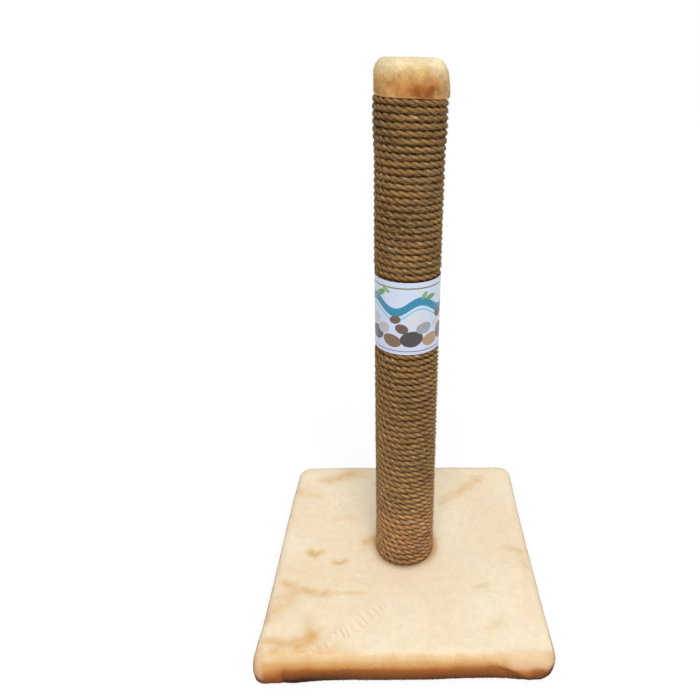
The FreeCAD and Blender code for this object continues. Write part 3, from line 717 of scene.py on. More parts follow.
def base_profile():
    """Rows of the cover's outside from the foot hole to the hem: share, inset and height."""
    rows = [(share, EDGE_RADIUS, BASE_TOP) for share in np.linspace(0, 1, 58)]
    for turn in np.linspace(0, math.pi / 2, 12)[1:]:
        rows.append((1, EDGE_RADIUS * (1 - math.sin(turn)),
                     BASE_TOP - EDGE_RADIUS * (1 - math.cos(turn))))
    for height in np.linspace(BASE_TOP - EDGE_RADIUS, HEM_EDGE, 10)[1:]:
        rows.append((1, 0, height))
    for turn in np.linspace(0, math.pi / 2, 6)[1:]:
        rows.append((1, HEM_EDGE * (1 - math.cos(turn)), HEM_EDGE * (1 - math.sin(turn))))
    for inset in np.linspace(HEM_EDGE, HEM_WIDTH, 16)[1:]:
        rows.append((1, inset, 0))
    return rows


def inner_profile():
    """Rows of the cover's inside from the hem's edge back to the foot hole."""
    inner = EDGE_RADIUS - PLUSH
    rows = [(1, inset, HEM_THICKNESS) for inset in np.linspace(HEM_WIDTH, PLUSH, 8)]
    rows += [(1, PLUSH, height) for height in (12, BASE_TOP - EDGE_RADIUS)]
    for turn in np.linspace(math.pi / 2, 0, 6)[1:]:
        rows.append((1, PLUSH + inner * (1 - math.sin(turn)),
                     BASE_TOP - EDGE_RADIUS + inner * math.cos(turn)))
    rows += [(share, EDGE_RADIUS, BASE_TOP - PLUSH) for share in np.linspace(1, 0, 12)[1:]]
    return rows


def profile_points(rows):
    """Points of rounded squares, turning into the circle of the foot hole as share goes to 0."""
    points = []
    for share, inset, height in rows:
        half = BASE_HALF - inset
        corner = BASE_CORNER - (BASE_CORNER - WINDOW_CORNER) * inset / HEM_WIDTH
        loop = outline(half, corner)
        circle = unit(loop) * FOOT_HOLE
        flat = circle + (loop - circle) * share
        points.append(np.column_stack([flat, np.full(len(flat), height)]))
    return np.concatenate(points)


SIDE_PUFF, FRONT_PUFF, BACK_PUFF = 0.8, 4.2, 1.5   # how far the corners swell
FRONT_LIFT = (                     # across the front and how far the lower edge is lifted
    (-175, 0.0), (-110, 0.0), (-60, 0.4), (0, 0.0), (40, 0.3), (73, 1.2), (97, 1.8),
    (121, 0.4), (132, 0.0), (175, 0.0),
)
FRONT_REACH = (                    # across the front and how far its foot stands forward
    (-175, 0.9), (-160, 1.6), (-150, 2.1), (-142, 2.5), (-128, 2.5), (-110, 0.9), (-95, 0.0),
    (-60, -0.6), (0, 0.4), (40, 0.6), (73, 1.2), (97, 1.2), (120, 0.9), (132, 2.2), (144, 2.6),
    (152, 1.2), (158, 0.2), (164, -1.6), (175, -2.6),
)
CORNER_FILL = 1.5                  # how far the front left corner bulges out low down
LEFT_IN = 1.4                      # how far the left side is drawn in
BACK_CORNER_IN = 2.4               # how far the back left corner is drawn in
BACK_RIGHT_OUT = 1.6
LEFT_FOLD = -140.0                 # where the front's face folds in beside the corner pads
RIGHT_FOLD = 148.0
RIDGE_START, RIDGE_END = (96.0, 29.0), (147.0, 5.0)   # across and height of the pleat's ridge


def from_ridge(x, z):
    """Distance above the pleat's ridge, and 1 along its length, fading at its ends."""
    start, end = np.array(RIDGE_START), np.array(RIDGE_END)
    step = (end - start) / np.linalg.norm(end - start)
    across = (x - start[0]) * -step[1] + (z - start[1]) * step[0]
    along = (x - start[0]) * step[0] + (z - start[1]) * step[1]
    length = np.linalg.norm(end - start)
    return across, smooth(-8, 12, along) * smooth(length + 4, length - 6, along)


def front_folds(x, z):
    """How far the front's face stands out: a pleat at the right and a tuck by each corner pad."""
    across, share = from_ridge(x, z)
    out = share * (1.9 * bell(across, 4.5, 6.0) - 1.2 * bell(across, -6.0, 5.0))
    low = smooth(30, 20, z)
    out -= 0.7 * (bell(x, LEFT_FOLD, 2.6) + bell(x, RIGHT_FOLD, 3.6)) * low
    out += 0.4 * smooth(LEFT_FOLD + 2, LEFT_FOLD - 6, x) * low
    out += 1.5 * smooth(-150, -120, x) * smooth(75, 20, x) * smooth(34, 20, z)
    return out + at_knots(x, FRONT_REACH) * smooth(26, 6, z)


def soften_cover(points, outside):
    """The plush's give: a low crown, a tuck at the foot, and a hem that lifts between corners."""
    x, y, z = points.T.copy()
    radius = np.hypot(x, y)
    level = np.clip(z / BASE_TOP, 0, 1)
    from_edge = BASE_HALF - np.maximum(np.abs(x), np.abs(y))
    along = np.minimum(np.abs(x), np.abs(y)) / BASE_HALF
    to_corner = smooth(0.62, 0.97, along)
    front = outside * smooth(-168, -174, y)
    tuck = bell(radius, FOOT_HOLE, 5.0)
    top = smooth(20, 34, z)
    z = z - 1.9 * tuck * top
    z = z + top * (0.5 * noise(points, (70, 70, 200), SEED + 20)
                   + 0.35 * noise(points, (24, 24, 200), SEED + 21) - 0.8) * outside
    lift = 1.2 * (1 - to_corner) + 0.5 * noise(points, 60, SEED + 22)
    lift = np.clip(lift, 0, None) * smooth(40, 8, from_edge) * (1 - front)
    lift += front * smooth(6, 1.5, from_edge) * at_knots(x, FRONT_LIFT)
    z = z + lift * (1 - level) ** 2
    inward = np.where(np.abs(x)[:, None] >= np.abs(y)[:, None],
                      np.stack([np.sign(x), 0 * x], 1), np.stack([0 * y, np.sign(y)], 1))
    side = smooth(14, 0, from_edge)
    pull = side * (0.3 * (1 - to_corner) * (1 - front)
                   + 0.5 * noise(points, (45, 45, 18), SEED + 23))
    flat = np.stack([x, y], 1) - inward * (pull * (0.3 + 0.7 * (1 - level)))[:, None]
    puff = to_corner * smooth(26, 4, from_edge) * np.sin(math.pi * np.clip(level, 0.12, 1)) ** 0.6
    reach = np.where(y < 0, FRONT_PUFF, BACK_PUFF)
    flat = flat + np.sign(flat) * np.stack([puff * SIDE_PUFF, puff * reach], 1)
    flat[:, 1] -= outside * smooth(-160, -170, y) * front_folds(x, z)
    filled = CORNER_FILL * smooth(-150, -172, x) * smooth(-150, -172, y) * smooth(30, 14, z)
    drawn = BACK_CORNER_IN * smooth(-90, -168, x) * smooth(90, 168, y)
    left = LEFT_IN * smooth(-120, -165, x) * smooth(-150, -120, y)
    right = BACK_RIGHT_OUT * smooth(120, 165, x) * smooth(40, 150, y)
    flat[:, 0] += outside * (drawn + left + right - filled)
    flat[:, 1] -= outside * (drawn + filled)
    return np.column_stack([flat, np.maximum(z, 0)])


NAP_SHADE_STROKES = (                        # painted nap shade in strokes: pixels along each, reach across and down, strength
    (((311, 552.5), (317, 555.5), (320, 552)), (5.0, 3.2), 0.70),
    (((338, 562), (345, 561)), (5.5, 3.2), 0.60),
    (((287, 583), (296, 589), (310, 591.5), (326, 593)), (7.0, 4.2), 0.55),
    (((326, 593), (362, 592.5)), (7.0, 2.6), 0.34),
    (((294, 591), (286, 602), (270, 616)), (11.0, 7.0), 0.42),
    (((298, 644), (308, 641), (313, 635)), (9.5, 7.5), 0.85),
    (((270, 641), (286, 645), (303, 645)), (9.0, 6.0), 0.58),
    (((309, 620), (315, 630)), (5.5, 7.0), 0.26),
    (((316, 662), (327, 658)), (9.0, 5.5), 0.50),
    (((480, 587), (487, 585)), (5.0, 3.0), 0.34),
    (((509, 547), (519, 550)), (6.0, 3.0), 0.36),
    (((519, 552), (524, 566)), (4.0, 5.0), 0.22),
    (((488, 628), (498, 622)), (7.0, 4.0), 0.25),
    (((478, 477), (462, 489), (443, 502)), (6.0, 3.4), 0.36),
    (((331, 480), (346, 476.5), (356, 474)), (9.0, 4.0), 0.58),
    (((300, 492), (316, 495)), (9.0, 4.5), 0.30),
    (((340, 520), (353, 518)), (8.0, 3.5), 0.20),
    (((366, 541), (376, 541)), (6.0, 6.0), 0.50),
    (((434, 545), (429, 556)), (4.0, 7.0), 0.50),
    (((300, 570), (360, 580)), (40.0, 14.0), 0.16),
    (((276, 656), (336, 658)), (26.0, 10.0), 0.80),
    (((350, 658), (545, 656)), (16.0, 5.5), 0.22),
)
TOP_COLOURS = ((249, 236, 208), (248, 229, 199))
NAP_SHADE_COLOUR = (228, 180, 104)
FOOT_SHADOW_COLOUR = (206, 150, 92)       # painted shadow round the foot of the post, inside the pile
NAP_SHADE_WARP = 3.0                  # pixels
SIDE_SHADE_BANDS = (                     # height and colour down the front's face: the pile's tan, darkened towards the foot by painted shade
    (36.0, (246, 230, 199)), (34.0, (236, 211, 171)), (31.4, (225, 190, 142)),
    (28.0, (215, 171, 112)), (23.6, (210, 151, 88)), (21.0, (196, 130, 72)),
    (17.6, (174, 103, 54)), (11.0, (146, 85, 45)), (5.0, (116, 68, 37)), (1.5, (80, 48, 28)),
)
SIDE_DULL = (196, 170, 142)        # the other three sides take a greyer painted shade
RIM_COLOUR = (234, 207, 164)       # painted light along the rounded top of the front
PAD_COLOUR = (236, 210, 176)       # painted light on the pads beside the folds
FRONT_SHIFTS = (                   # across the front and how far the painted shade bands sink near its foot
    (-175, 5.0), (-152, 4.4), (-145, 3.0), (-138, -4.0), (-120, -6.0), (-95, -5.4), (-60, -1.8),
    (0, -0.3), (73, -0.8), (97, -3.2), (112, 0.0), (148, 0.0), (152, 0.8), (175, 2.0),
)
# across the front and how far the painted shade bands rise along the pleat's ridge
RIDGE_SHIFTS = ((106, 0.0), (118, 1.0), (128, 2.0), (139, 3.0), (147, 2.4), (157, 0.0))
RIPPLE_ENDS = ((299, 662), (393, 600))
RIPPLE_GAP = 6.6                   # pixels from one ripple to the next
RIPPLE_HEIGHT = 0.26
# Painted shade and light on the nap's ripples: darker and warmer in their troughs.
RIPPLE_SHADE_TINT = np.array((0.035, 0.055, 0.085))


def nap_ripples(points):
    """Small ripples in the nap, side by side along a slanting line; 1 at their crests."""
    pixels = to_pixels(points)
    start, end = np.array(RIPPLE_ENDS, float)
    length = np.linalg.norm(end - start)
    step = (end - start) / length
    along = (pixels - start) @ step
    across = (pixels - start) @ np.array((-step[1], step[0])) + 3.0 * noise(points, 12, SEED + 41)
    drift = 2.2 * noise(points, 13, SEED + 35)
    wave = 1 - 2 * (0.5 - 0.5 * np.sin(TAU * along / RIPPLE_GAP + drift)) ** 2
    wave *= 0.70 + 0.6 * noise(points, 7, SEED + 37)
    fade = smooth(-6, 8, along) * smooth(length + 4, length - 26, along)
    return wave * fade * np.exp(-(across / 5.5) ** 4) * (points[:, 2] > 30)


def side_level(points):
    """The height whose painted shade band each point of the sides takes."""
    x, y, z = points.T
    level = z + 1.1 * noise(points, (16, 16, 30), SEED + 34) + 0.6 * noise(points, 5, SEED + 36)
    front = smooth(-140, -160, y) * smooth(14, -3, np.abs(x) - np.abs(y))
    shift = at_knots(x, FRONT_SHIFTS) * smooth(30, 8, z)
    shift += at_knots(x, RIDGE_SHIFTS) * smooth(30, 22, z) * smooth(6, 15, z)
    return level + front * shift + 5.0 * (1 - front) * smooth(2, 12, z), front


def base_tint(points):
    """Cream above, turning tan and brown down the sides with painted shade, with painted nap shade in
    strokes, painted shadow round the foot and under the hem, and painted light on the rim and pads.
    """
    x, y, z = points.T
    cream, pink = (linear(*shown) for shown in TOP_COLOURS)
    share = 0.5 + 0.9 * noise(points, (55, 55, 80), SEED + 30)
    tint = cream + (pink - cream) * np.clip(share, 0, 1)[:, None]
    warp = [noise(points, 11, SEED + 38), 0.6 * noise(points, 11, SEED + 39)]
    pixels = to_pixels(points) + NAP_SHADE_WARP * np.stack(warp, 1)
    nap_shade = np.zeros(len(points))
    # Painted shade in strokes where the nap lies another way.
    for stroke, reach, strength in NAP_SHADE_STROKES:
        nap_shade = np.maximum(nap_shade, strength * near_stroke(pixels, stroke, reach))
    rough = 1 + 0.35 * noise(points, 9, SEED + 31)
    nap_shade *= rough * (z > 28)
    turn_to(tint, NAP_SHADE_COLOUR, np.clip(nap_shade, 0, 1))
    grain = 0.025 * noise(points, 7, SEED + 32) + 0.02 * noise(points, 2.2, SEED + 33)
    tint *= 1 + grain[:, None] + RIPPLE_SHADE_TINT * nap_ripples(points)[:, None]
    # Painted shade down the sides, over the pile's own tan.
    level, front = side_level(points)
    side = shades_at(level, SIDE_SHADE_BANDS)
    dull = linear(*SIDE_DULL) * side.mean(1, keepdims=True) / linear(*SIDE_DULL).mean()
    side += (dull - side) * (0.5 * (1 - front))[:, None]
    edge = smooth(15, 8, BASE_HALF - np.maximum(np.abs(x), np.abs(y)))
    tint += (side - tint) * (edge * smooth(35.6, 32.8, level))[:, None]
    # Painted light on the rounded rim of the front and on the corner pads.
    turn_to(tint, RIM_COLOUR, 0.50 * front * smooth(-166, -176, y) * smooth(29, 32, z))
    pads = smooth(114, 128, x) * smooth(19, 27, level) + smooth(-160, -169, x) * smooth(12, 20, level)
    pads += smooth(158, 166, x) * smooth(14, 22, level)
    turn_to(tint, PAD_COLOUR, 0.55 * edge * front * np.clip(pads, 0, 1))
    # Painted shadow under the lifted hem at the front left, and painted shade in the folds beside the
    # corner pads.
    dark = smooth(-142, -134, x) * smooth(-92, -124, x) * front * smooth(11, 4, z)
    fold = bell(x, LEFT_FOLD, 2.2) + 0.4 * bell(x, RIGHT_FOLD, 2.6)
    tint *= (1 - 0.50 * dark - 0.22 * front * fold * smooth(26, 18, z))[:, None]
    turn_to(tint, FOOT_SHADOW_COLOUR, 0.50 * bell(np.hypot(x, y), FOOT_HOLE, 8.0) * (z > 20))
    return np.clip(tint, 0, 1)


def make_base_cover(material):
    """The plush from the foot of the post over the edge to the hem, and the faces outside."""
    outer = soften_cover(profile_points(base_profile()), 1)
    inner = soften_cover(profile_points(inner_profile()), 0)
    points = np.concatenate([outer, inner])
    columns = 4 * SIDE_POINTS
    faces = grid(len(points) // columns, columns, round_rows=True, round_columns=True)
    mesh = make_mesh("base_cover_plush", points, [faces])
    give_tint(mesh, base_tint(points))
    piece = make_piece("base_cover_plush", mesh, material, "plush", "base_cover")
    return points, faces[:(len(base_profile()) - 1) * columns]


# ---------------------------------------------------------------- pile
def scatter(points, normals, faces, count, seed, keep):
    """Places spread evenly over the faces that keep is true of, with the normal at each."""
    rng = np.random.default_rng(seed)
    faces = faces[keep(points[faces].mean(1))]
    a, b, c, d = (points[faces[:, i]] for i in range(4))
    area = np.linalg.norm(np.cross(c - a, d - b), axis=1) / 2
    total = np.cumsum(area)
    pick = (np.arange(count) + rng.random(count)) / count * total[-1]
    face = faces[np.searchsorted(total, pick, side="right").clip(0, len(faces) - 1)]
    u, v = rng.random((2, count))
    weights = np.stack([(1 - u) * (1 - v), u * (1 - v), u * v, (1 - u) * v], 1)
    place = (points[face] * weights[..., None]).sum(1)
    return place, unit((normals[face] * weights[..., None]).sum(1))


LEAF_CORNERS = np.array(((0, 0), (0, 1), (1, 1), (1, 0)))
LEAF_WIDTH = 0.8


def make_pile(name, places, normals, lean, length, tint, material, seed, spread, shift,
              lift=0.35, own_share=0.5):
    """Flattened tufts of pile, each a folded leaf that lies as the nap does."""
    rng = np.random.default_rng(seed)
    count = len(places)
    lean = unit(lean - normals * (lean * normals).sum(1, keepdims=True))
    direction = unit(normals * lift + lean + spread * rng.normal(size=(count, 3)))
    across = unit(np.cross(direction, normals))
    face = np.cross(across, direction)
    reach = (length * (0.7 + 0.6 * rng.random(count)))[:, None]
    half = (LEAF_WIDTH * (0.7 + 0.6 * rng.random(count)) / 2)[:, None]
    root = places - normals * 0.35
    middle = root + direction * reach * 0.45 - face * half * 0.35
    tip = root + direction * reach
    points = np.stack([root, middle - across * half, tip, middle + across * half], 1)
    points[..., 2] = np.clip(points[..., 2], 0, CAP_TOP)
    base = 4 * np.arange(count)[:, None]
    faces = np.concatenate([base + np.array(f) for f in ((0, 2, 1), (0, 3, 2))])
    mesh = make_mesh(name, points.reshape(-1, 3), [faces])
    shade = (1 + shift * (2 * rng.random(count) - 1))[:, None] * tint
    deep, light = shade * (1 - shift), np.clip(shade * (1 + 0.5 * shift), 0, 1)
    give_tint(mesh, np.stack([deep, shade, light, shade], 1).reshape(-1, 3))
    own = point_normals(mesh)
    own *= np.sign((own * np.repeat(face, 4, axis=0)).sum(1))[:, None]
    cloth = np.repeat(normals, 4, axis=0)
    mesh.normals_split_custom_set_from_vertices(unit(own_share * own + cloth).tolist())
    corner = corner_indices(mesh)
    give_map(mesh, "OFBake", cell_map(corner // 4, count, LEAF_CORNERS[corner % 4]))
    make_piece(name, mesh, material, "plush")


def base_nap(places):
    """How the base's pile leans: forward, turned here and there, and down the sides."""
    turn = -math.pi / 2 + 0.8 * noise(places, (60, 60, 90), SEED + 40)
    side = smooth(32, 24, places[:, 2])[:, None]
    return facing(turn) * (1 - side) + np.array((0, 0, -1.0)) * side


BASE_LEAVES = 90000                # in each quarter
BASE_LEAF_LENGTH = 2.6
RIPPLE_STEP = 0.5                  # the ripples' slope is measured over this length


def make_base_pile(points, faces, material):
    """The base's pile, on the top and the sides, in four quarters."""
    normals = point_normals(bpy.data.objects["base_cover_plush"].data)
    quarters = (("front_left", False, False), ("front_right", True, False),
                ("back_left", False, True), ("back_right", True, True))
    for number, (quarter, right, back) in enumerate(quarters):
        place, normal = scatter(
            points, normals, faces, BASE_LEAVES, SEED + 50 + number,
            lambda c: ((c[:, 0] >= 0) == right) & ((c[:, 1] >= 0) == back) & (c[:, 2] > 1.0))
        height = nap_ripples(place)
        slope = np.stack([nap_ripples(place + np.array(step)) - height for step in (
            (RIPPLE_STEP, 0, 0), (0, RIPPLE_STEP, 0))], 1) / RIPPLE_STEP
        place[:, 2] += RIPPLE_HEIGHT * height
        normal = unit(normal - np.column_stack([slope * RIPPLE_HEIGHT * 2, 0 * height]))
        make_pile("base_pile_" + quarter, place, normal, base_nap(place), BASE_LEAF_LENGTH,
                  base_tint(place), material, SEED + 60 + number, 0.16, 0.03)


# ---------------------------------------------------------------- base padding
FOAM_HOLE = 41.4                   # radius of the foam's hole for the post
FOAM_TOP, FOAM_UNDER = 30.8, 21.2
FOAM_INSET = 5.3


def make_base_padding(material):
    """The foam between board and plush: a rounded plate with a hole for the post."""
    rows = [(share, FOAM_INSET + 2.9, FOAM_TOP) for share in np.linspace(0, 1, 14)]
    rows += [(1, FOAM_INSET + 0.6, FOAM_TOP - 0.8), (1, FOAM_INSET, FOAM_TOP - 2.4)]
    rows += [(share, FOAM_INSET, FOAM_UNDER) for share in np.linspace(1, 0, 8)]
    points = profile_points(rows)
    flat = points[:, :2]
    radius = np.linalg.norm(flat, axis=1, keepdims=True)
    points[:, :2] = np.where(radius < 60, unit(flat) * np.maximum(radius, FOAM_HOLE), flat)
    points[:, 2] += 0.1 * noise(points, 15, SEED + 70) * (points[:, 2] > 25)
    columns = 4 * SIDE_POINTS
    faces = grid(len(rows), columns, round_rows=True, round_columns=True)
    mesh = make_mesh("base_padding_foam", points, [faces])
    piece = make_piece("base_padding_foam", mesh, material, "foam", "base_padding")


# ---------------------------------------------------------------- cap
CAP_RADIUS = 40.5
CAP_TOP = 681.7
CAP_SHOULDER = 13.5
CAP_HEM = 2.5
SKIRT_RADIUS = 32.1
SKIRT_BOTTOM = 623.9
ROPE_TOP_GAP = 3.9
CAP_COLUMNS = 256
CAP_LOW = 636                      # below this height there is only the thin skirt
CAP_CENTRE = 655                   # the cap's dents lead to and from this height
CAP_SHIFTS = (                     # height and how far the cap stands to the right there
    (636, 0.8), (646, 2.2), (656, 2.0), (666, 1.2), (676, 0.5),
)
CAP_GIRTHS = (                     # height and how much wider the cap is there
    (638, 0.0), (646, 0.9), (656, 0.7), (664, 0.2), (670, -0.8), (676, -0.5), (682, 0.0),
)
PILE_ROOM = 1.5                    # how far the cloth lies inside the tips of its pile


def cap_edge(angle):
    """Height of the cap's lower edge, which lies on the last turn of rope all the way round."""
    back = np.mod((angle - math.pi / 2) / TAU, 1)
    climb = ROPE_STRETCHES[-1][1]
    edge = rope_height(LAST_TURN) + ROPE_TOP_GAP - climb * back
    return edge + climb * smooth(0.955, 1.0, back)


def cap_profile():
    """Rows of the cover from the middle of its top, outside, then inside: radius, height, share."""
    rows = []
    for radius in np.linspace(0.6, CAP_RADIUS - CAP_SHOULDER, 18):
        rows.append((radius, CAP_TOP, 0))
    centre = CAP_TOP - CAP_SHOULDER
    for turn in np.linspace(0, math.pi / 2, 22)[1:]:
        rows.append((CAP_RADIUS - CAP_SHOULDER + CAP_SHOULDER * math.sin(turn),
                     centre + CAP_SHOULDER * math.cos(turn), 0))
    for share in np.linspace(0, 1, 14)[1:]:
        rows.append((CAP_RADIUS, centre, share))
    for turn in np.linspace(0, math.pi / 2, 5)[1:]:
        rows.append((CAP_RADIUS - CAP_HEM * (1 - math.cos(turn)), centre,
                     1 + 0.02 * math.sin(turn)))
    rows += [(36.8, centre, 1.04), (35.0, centre, 1.02), (SKIRT_RADIUS, centre, 1.0)]
    rows += [(SKIRT_RADIUS, height, None) for height in (632, SKIRT_BOTTOM)]
    rows += [(SKIRT_RADIUS - 0.8, height, None) for height in (SKIRT_BOTTOM, 640, 648.6)]
    rows += [(36.0, 648.8, None), (36.4, 664, None), (30, 674, None), (20, 677.6, None),
             (0.6, 677.7, None)]
    return rows


def make_cap(material):
    """The plush pulled over the top, with its lower edge resting along the last turn of rope."""
    angle = np.arange(CAP_COLUMNS) / CAP_COLUMNS * TAU
    outward = facing(angle)[:, :2]
    rows = cap_profile()
    loops = []
    for radius, height, share in rows:
        tall = np.full(CAP_COLUMNS, float(height))
        if share:
            tall = height + (cap_edge(angle) - height) * share
        loops.append(np.column_stack([outward * radius, tall]))
    points = np.concatenate(loops)
    outer = sum(1 for row in rows if row[2] is not None) * CAP_COLUMNS
    shown = np.zeros(len(points))
    shown[:outer] = 1
    dents = (0.6 * noise(points, (30, 30, 26), SEED + 80)
             + 0.30 * noise(points, (10, 10, 14), SEED + 81))
    out = np.column_stack([points[:, :2] * 0.8, (points[:, 2] - CAP_CENTRE) * 0.9])
    drawn = dents - PILE_ROOM * (0.75 + 0.25 * smooth(640, 662, points[:, 2]))
    points += unit(out) * (shown * drawn * (points[:, 2] > CAP_LOW))[:, None]
    points[:, :2] += unit(points[:, :2]) * (shown * at_knots(points[:, 2], CAP_GIRTHS))[:, None]
    points[:, 0] += at_knots(points[:, 2], CAP_SHIFTS) * (points[:, 2] > CAP_LOW)
    faces = tube_faces(points, CAP_COLUMNS)
    mesh = make_mesh("cap_cover_plush", points, faces)
    give_tint(mesh, cap_tint(points))
    piece = make_piece("cap_cover_plush", mesh, material, "plush", "cap_cover")
    return points, faces[0][:outer - 4 * CAP_COLUMNS]


CAP_BANDS = (                      # height and colour down the cap: the pile's own tan, with painted shade down the side
    (681.7, (214, 197, 158)), (676.0, (222, 204, 163)), (671.5, (233, 206, 150)),
    (667.0, (231, 198, 134)), (662.5, (216, 166, 101)), (657.5, (206, 150, 86)),
    (651.4, (199, 142, 80)), (643.0, (190, 139, 87)),
)
CAP_PATCHES_AND_HIGHLIGHTS = (                    # pixels along each, reach across and down, colour, strength; rust patches, and pale ones that are painted highlights
    (((402, 73), (430, 75)), (12.0, 6.5), (206, 163, 104), 0.60),
    (((377, 88), (388, 90)), (9.0, 9.0), (213, 170, 112), 0.75),
    (((404, 92), (411, 88)), (7.0, 7.0), (200, 142, 76), 0.5),
    (((394, 79), (399, 84)), (4.0, 4.0), (196, 128, 66), 0.5),
    (((417, 89), (432, 88)), (8.0, 6.5), (168, 98, 46), 0.60),
    (((418, 87), (420, 95)), (5.5, 5.0), (156, 84, 36), 0.75),
    (((433, 86), (430, 92)), (4.5, 4.5), (154, 82, 34), 0.75),
    (((437, 79), (439, 80)), (5.0, 3.5), (206, 148, 72), 0.6),
    (((438, 92), (440, 97)), (3.0, 3.5), (206, 164, 112), 0.80),
    (((443.5, 84), (444, 97)), (1.0, 5.0), (150, 98, 44), 0.35),
    (((449, 74), (449, 96)), (4.0, 8.0), (250, 226, 176), 0.85),
    (((437, 63), (445, 73)), (6.0, 5.5), (243, 232, 198), 0.85),
    (((383, 66), (396, 64)), (9.0, 4.5), (240, 224, 182), 0.5),
    (((444, 76), (446, 90)), (4.5, 10.0), (240, 202, 142), 0.65),
    (((373, 70), (373, 92)), (2.2, 10.0), (224, 200, 158), 0.6),
)


def cap_tint(points):
    """Cream above, golden and then orange tan down the side with painted shade, with rust patches and
    painted highlights in front.
    """
    sway = 2.2 * noise(points, 11, SEED + 90) + 1.6 * noise(points, 4.5, SEED + 93)
    tint = shades_at(points[:, 2] + sway, CAP_BANDS)
    pixels = to_pixels(points)
    front = smooth(8, -8, points[:, 1])
    for stroke, reach, shown, strength in CAP_PATCHES_AND_HIGHLIGHTS:
        share = strength * front * near_stroke(pixels, stroke, reach)
        turn_to(tint, shown, np.clip(share, 0, 1))
    low = smooth(676, 664, points[:, 2])
    streaks = (0.06 + 0.14 * low) * noise(points, (2.4, 2.4, 3.4), SEED + 91)
    streaks += (0.03 + 0.09 * low) * noise(points, 6, SEED + 92)
    flecks = smooth(0.45, 0.8, noise(points, (2.2, 2.2, 5), SEED + 99))
    return np.clip(tint * (1 + streaks - 0.16 * low * flecks)[:, None], 0, 1)


CAP_LEAVES = 95000
CAP_LEAF_LENGTH, HANGING_LENGTH = 2.3, 4.2


def make_cap_pile(points, faces, material):
    """Longer pile on the cap, combed down its side."""
    normals = point_normals(bpy.data.objects["cap_cover_plush"].data)
    place, normal = scatter(points, normals, faces, CAP_LEAVES, SEED + 95, clear_of_rope)
    outward = unit(place * (1, 1, 0))
    level = np.clip(normal[:, 2:], 0, 1)
    swirl = noise(place, 13, SEED + 96)[:, None]
    lean = (outward * level + np.array((0, 0, -1.0)) * (1 - level)
            + np.cross(outward, (0, 0, 1)) * (0.25 + 0.70 * swirl))
    drawn = np.random.default_rng(SEED + 99).random(len(place)) < smooth(0.6, 0.97, level[:, 0])
    lean[drawn] = (0.2, 1.0, 0)
    hanging = smooth(0.55, 0.15, level[:, 0])
    kept = np.random.default_rng(SEED + 98).random(len(place)) < 0.40 + 0.60 * hanging
    length = CAP_LEAF_LENGTH + (HANGING_LENGTH - CAP_LEAF_LENGTH) * hanging
    make_pile("cap_pile", place[kept], normal[kept], lean[kept], length[kept],
              cap_tint(place[kept]), material, SEED + 97, 0.14, 0.08, lift=0.16, own_share=0.25)


def clear_of_rope(places):
    """True where the tips of the pile end about at the rope."""
    angle = np.arctan2(places[:, 1], places[:, 0])
    return places[:, 2] > cap_edge(angle) + 5.4 + 2.4 * noise(places, 4.5, SEED + 94)


FOAM_COLUMNS = 128
CAP_FOAM = (                       # radius and height, over the outside and back inside
    (0.6, 677.4), (12, 677.3), (24, 676.4), (31, 673), (34.6, 667), (35.8, 660), (35.8, 652),
    (34.5, 649.4), (31.4, 648.9), (31.4, 662.0), (20, 662.0), (0.6, 662.0),
)


def make_cap_padding(material):
    """The foam over the end of the tube and a little way down its side."""
    outward = facing(np.arange(FOAM_COLUMNS) / FOAM_COLUMNS * TAU)
    points = np.concatenate([outward * radius + (0, 0, height) for radius, height in CAP_FOAM])
    mesh = make_mesh("cap_padding_foam", points, tube_faces(points, FOAM_COLUMNS))
    piece = make_piece("cap_padding_foam", mesh, material, "foam", "cap_padding")


# ---------------------------------------------------------------- paper sleeve
SLEEVE_RADIUS = 39.15
PRINT_RADIUS = 39.3                # millimetres on the print are measured here
PAPER = 0.3                        # its thickness
LAP = 20.0                         # degrees
LAP_GAP = 0.1                      # between the paper's start and the end that lies over it
DENT_RADIUS = 39.0                 # its dents are the noise at this distance from the middle
SLEEVE_ROWS = 61
SLEEVE_COLUMNS = 381


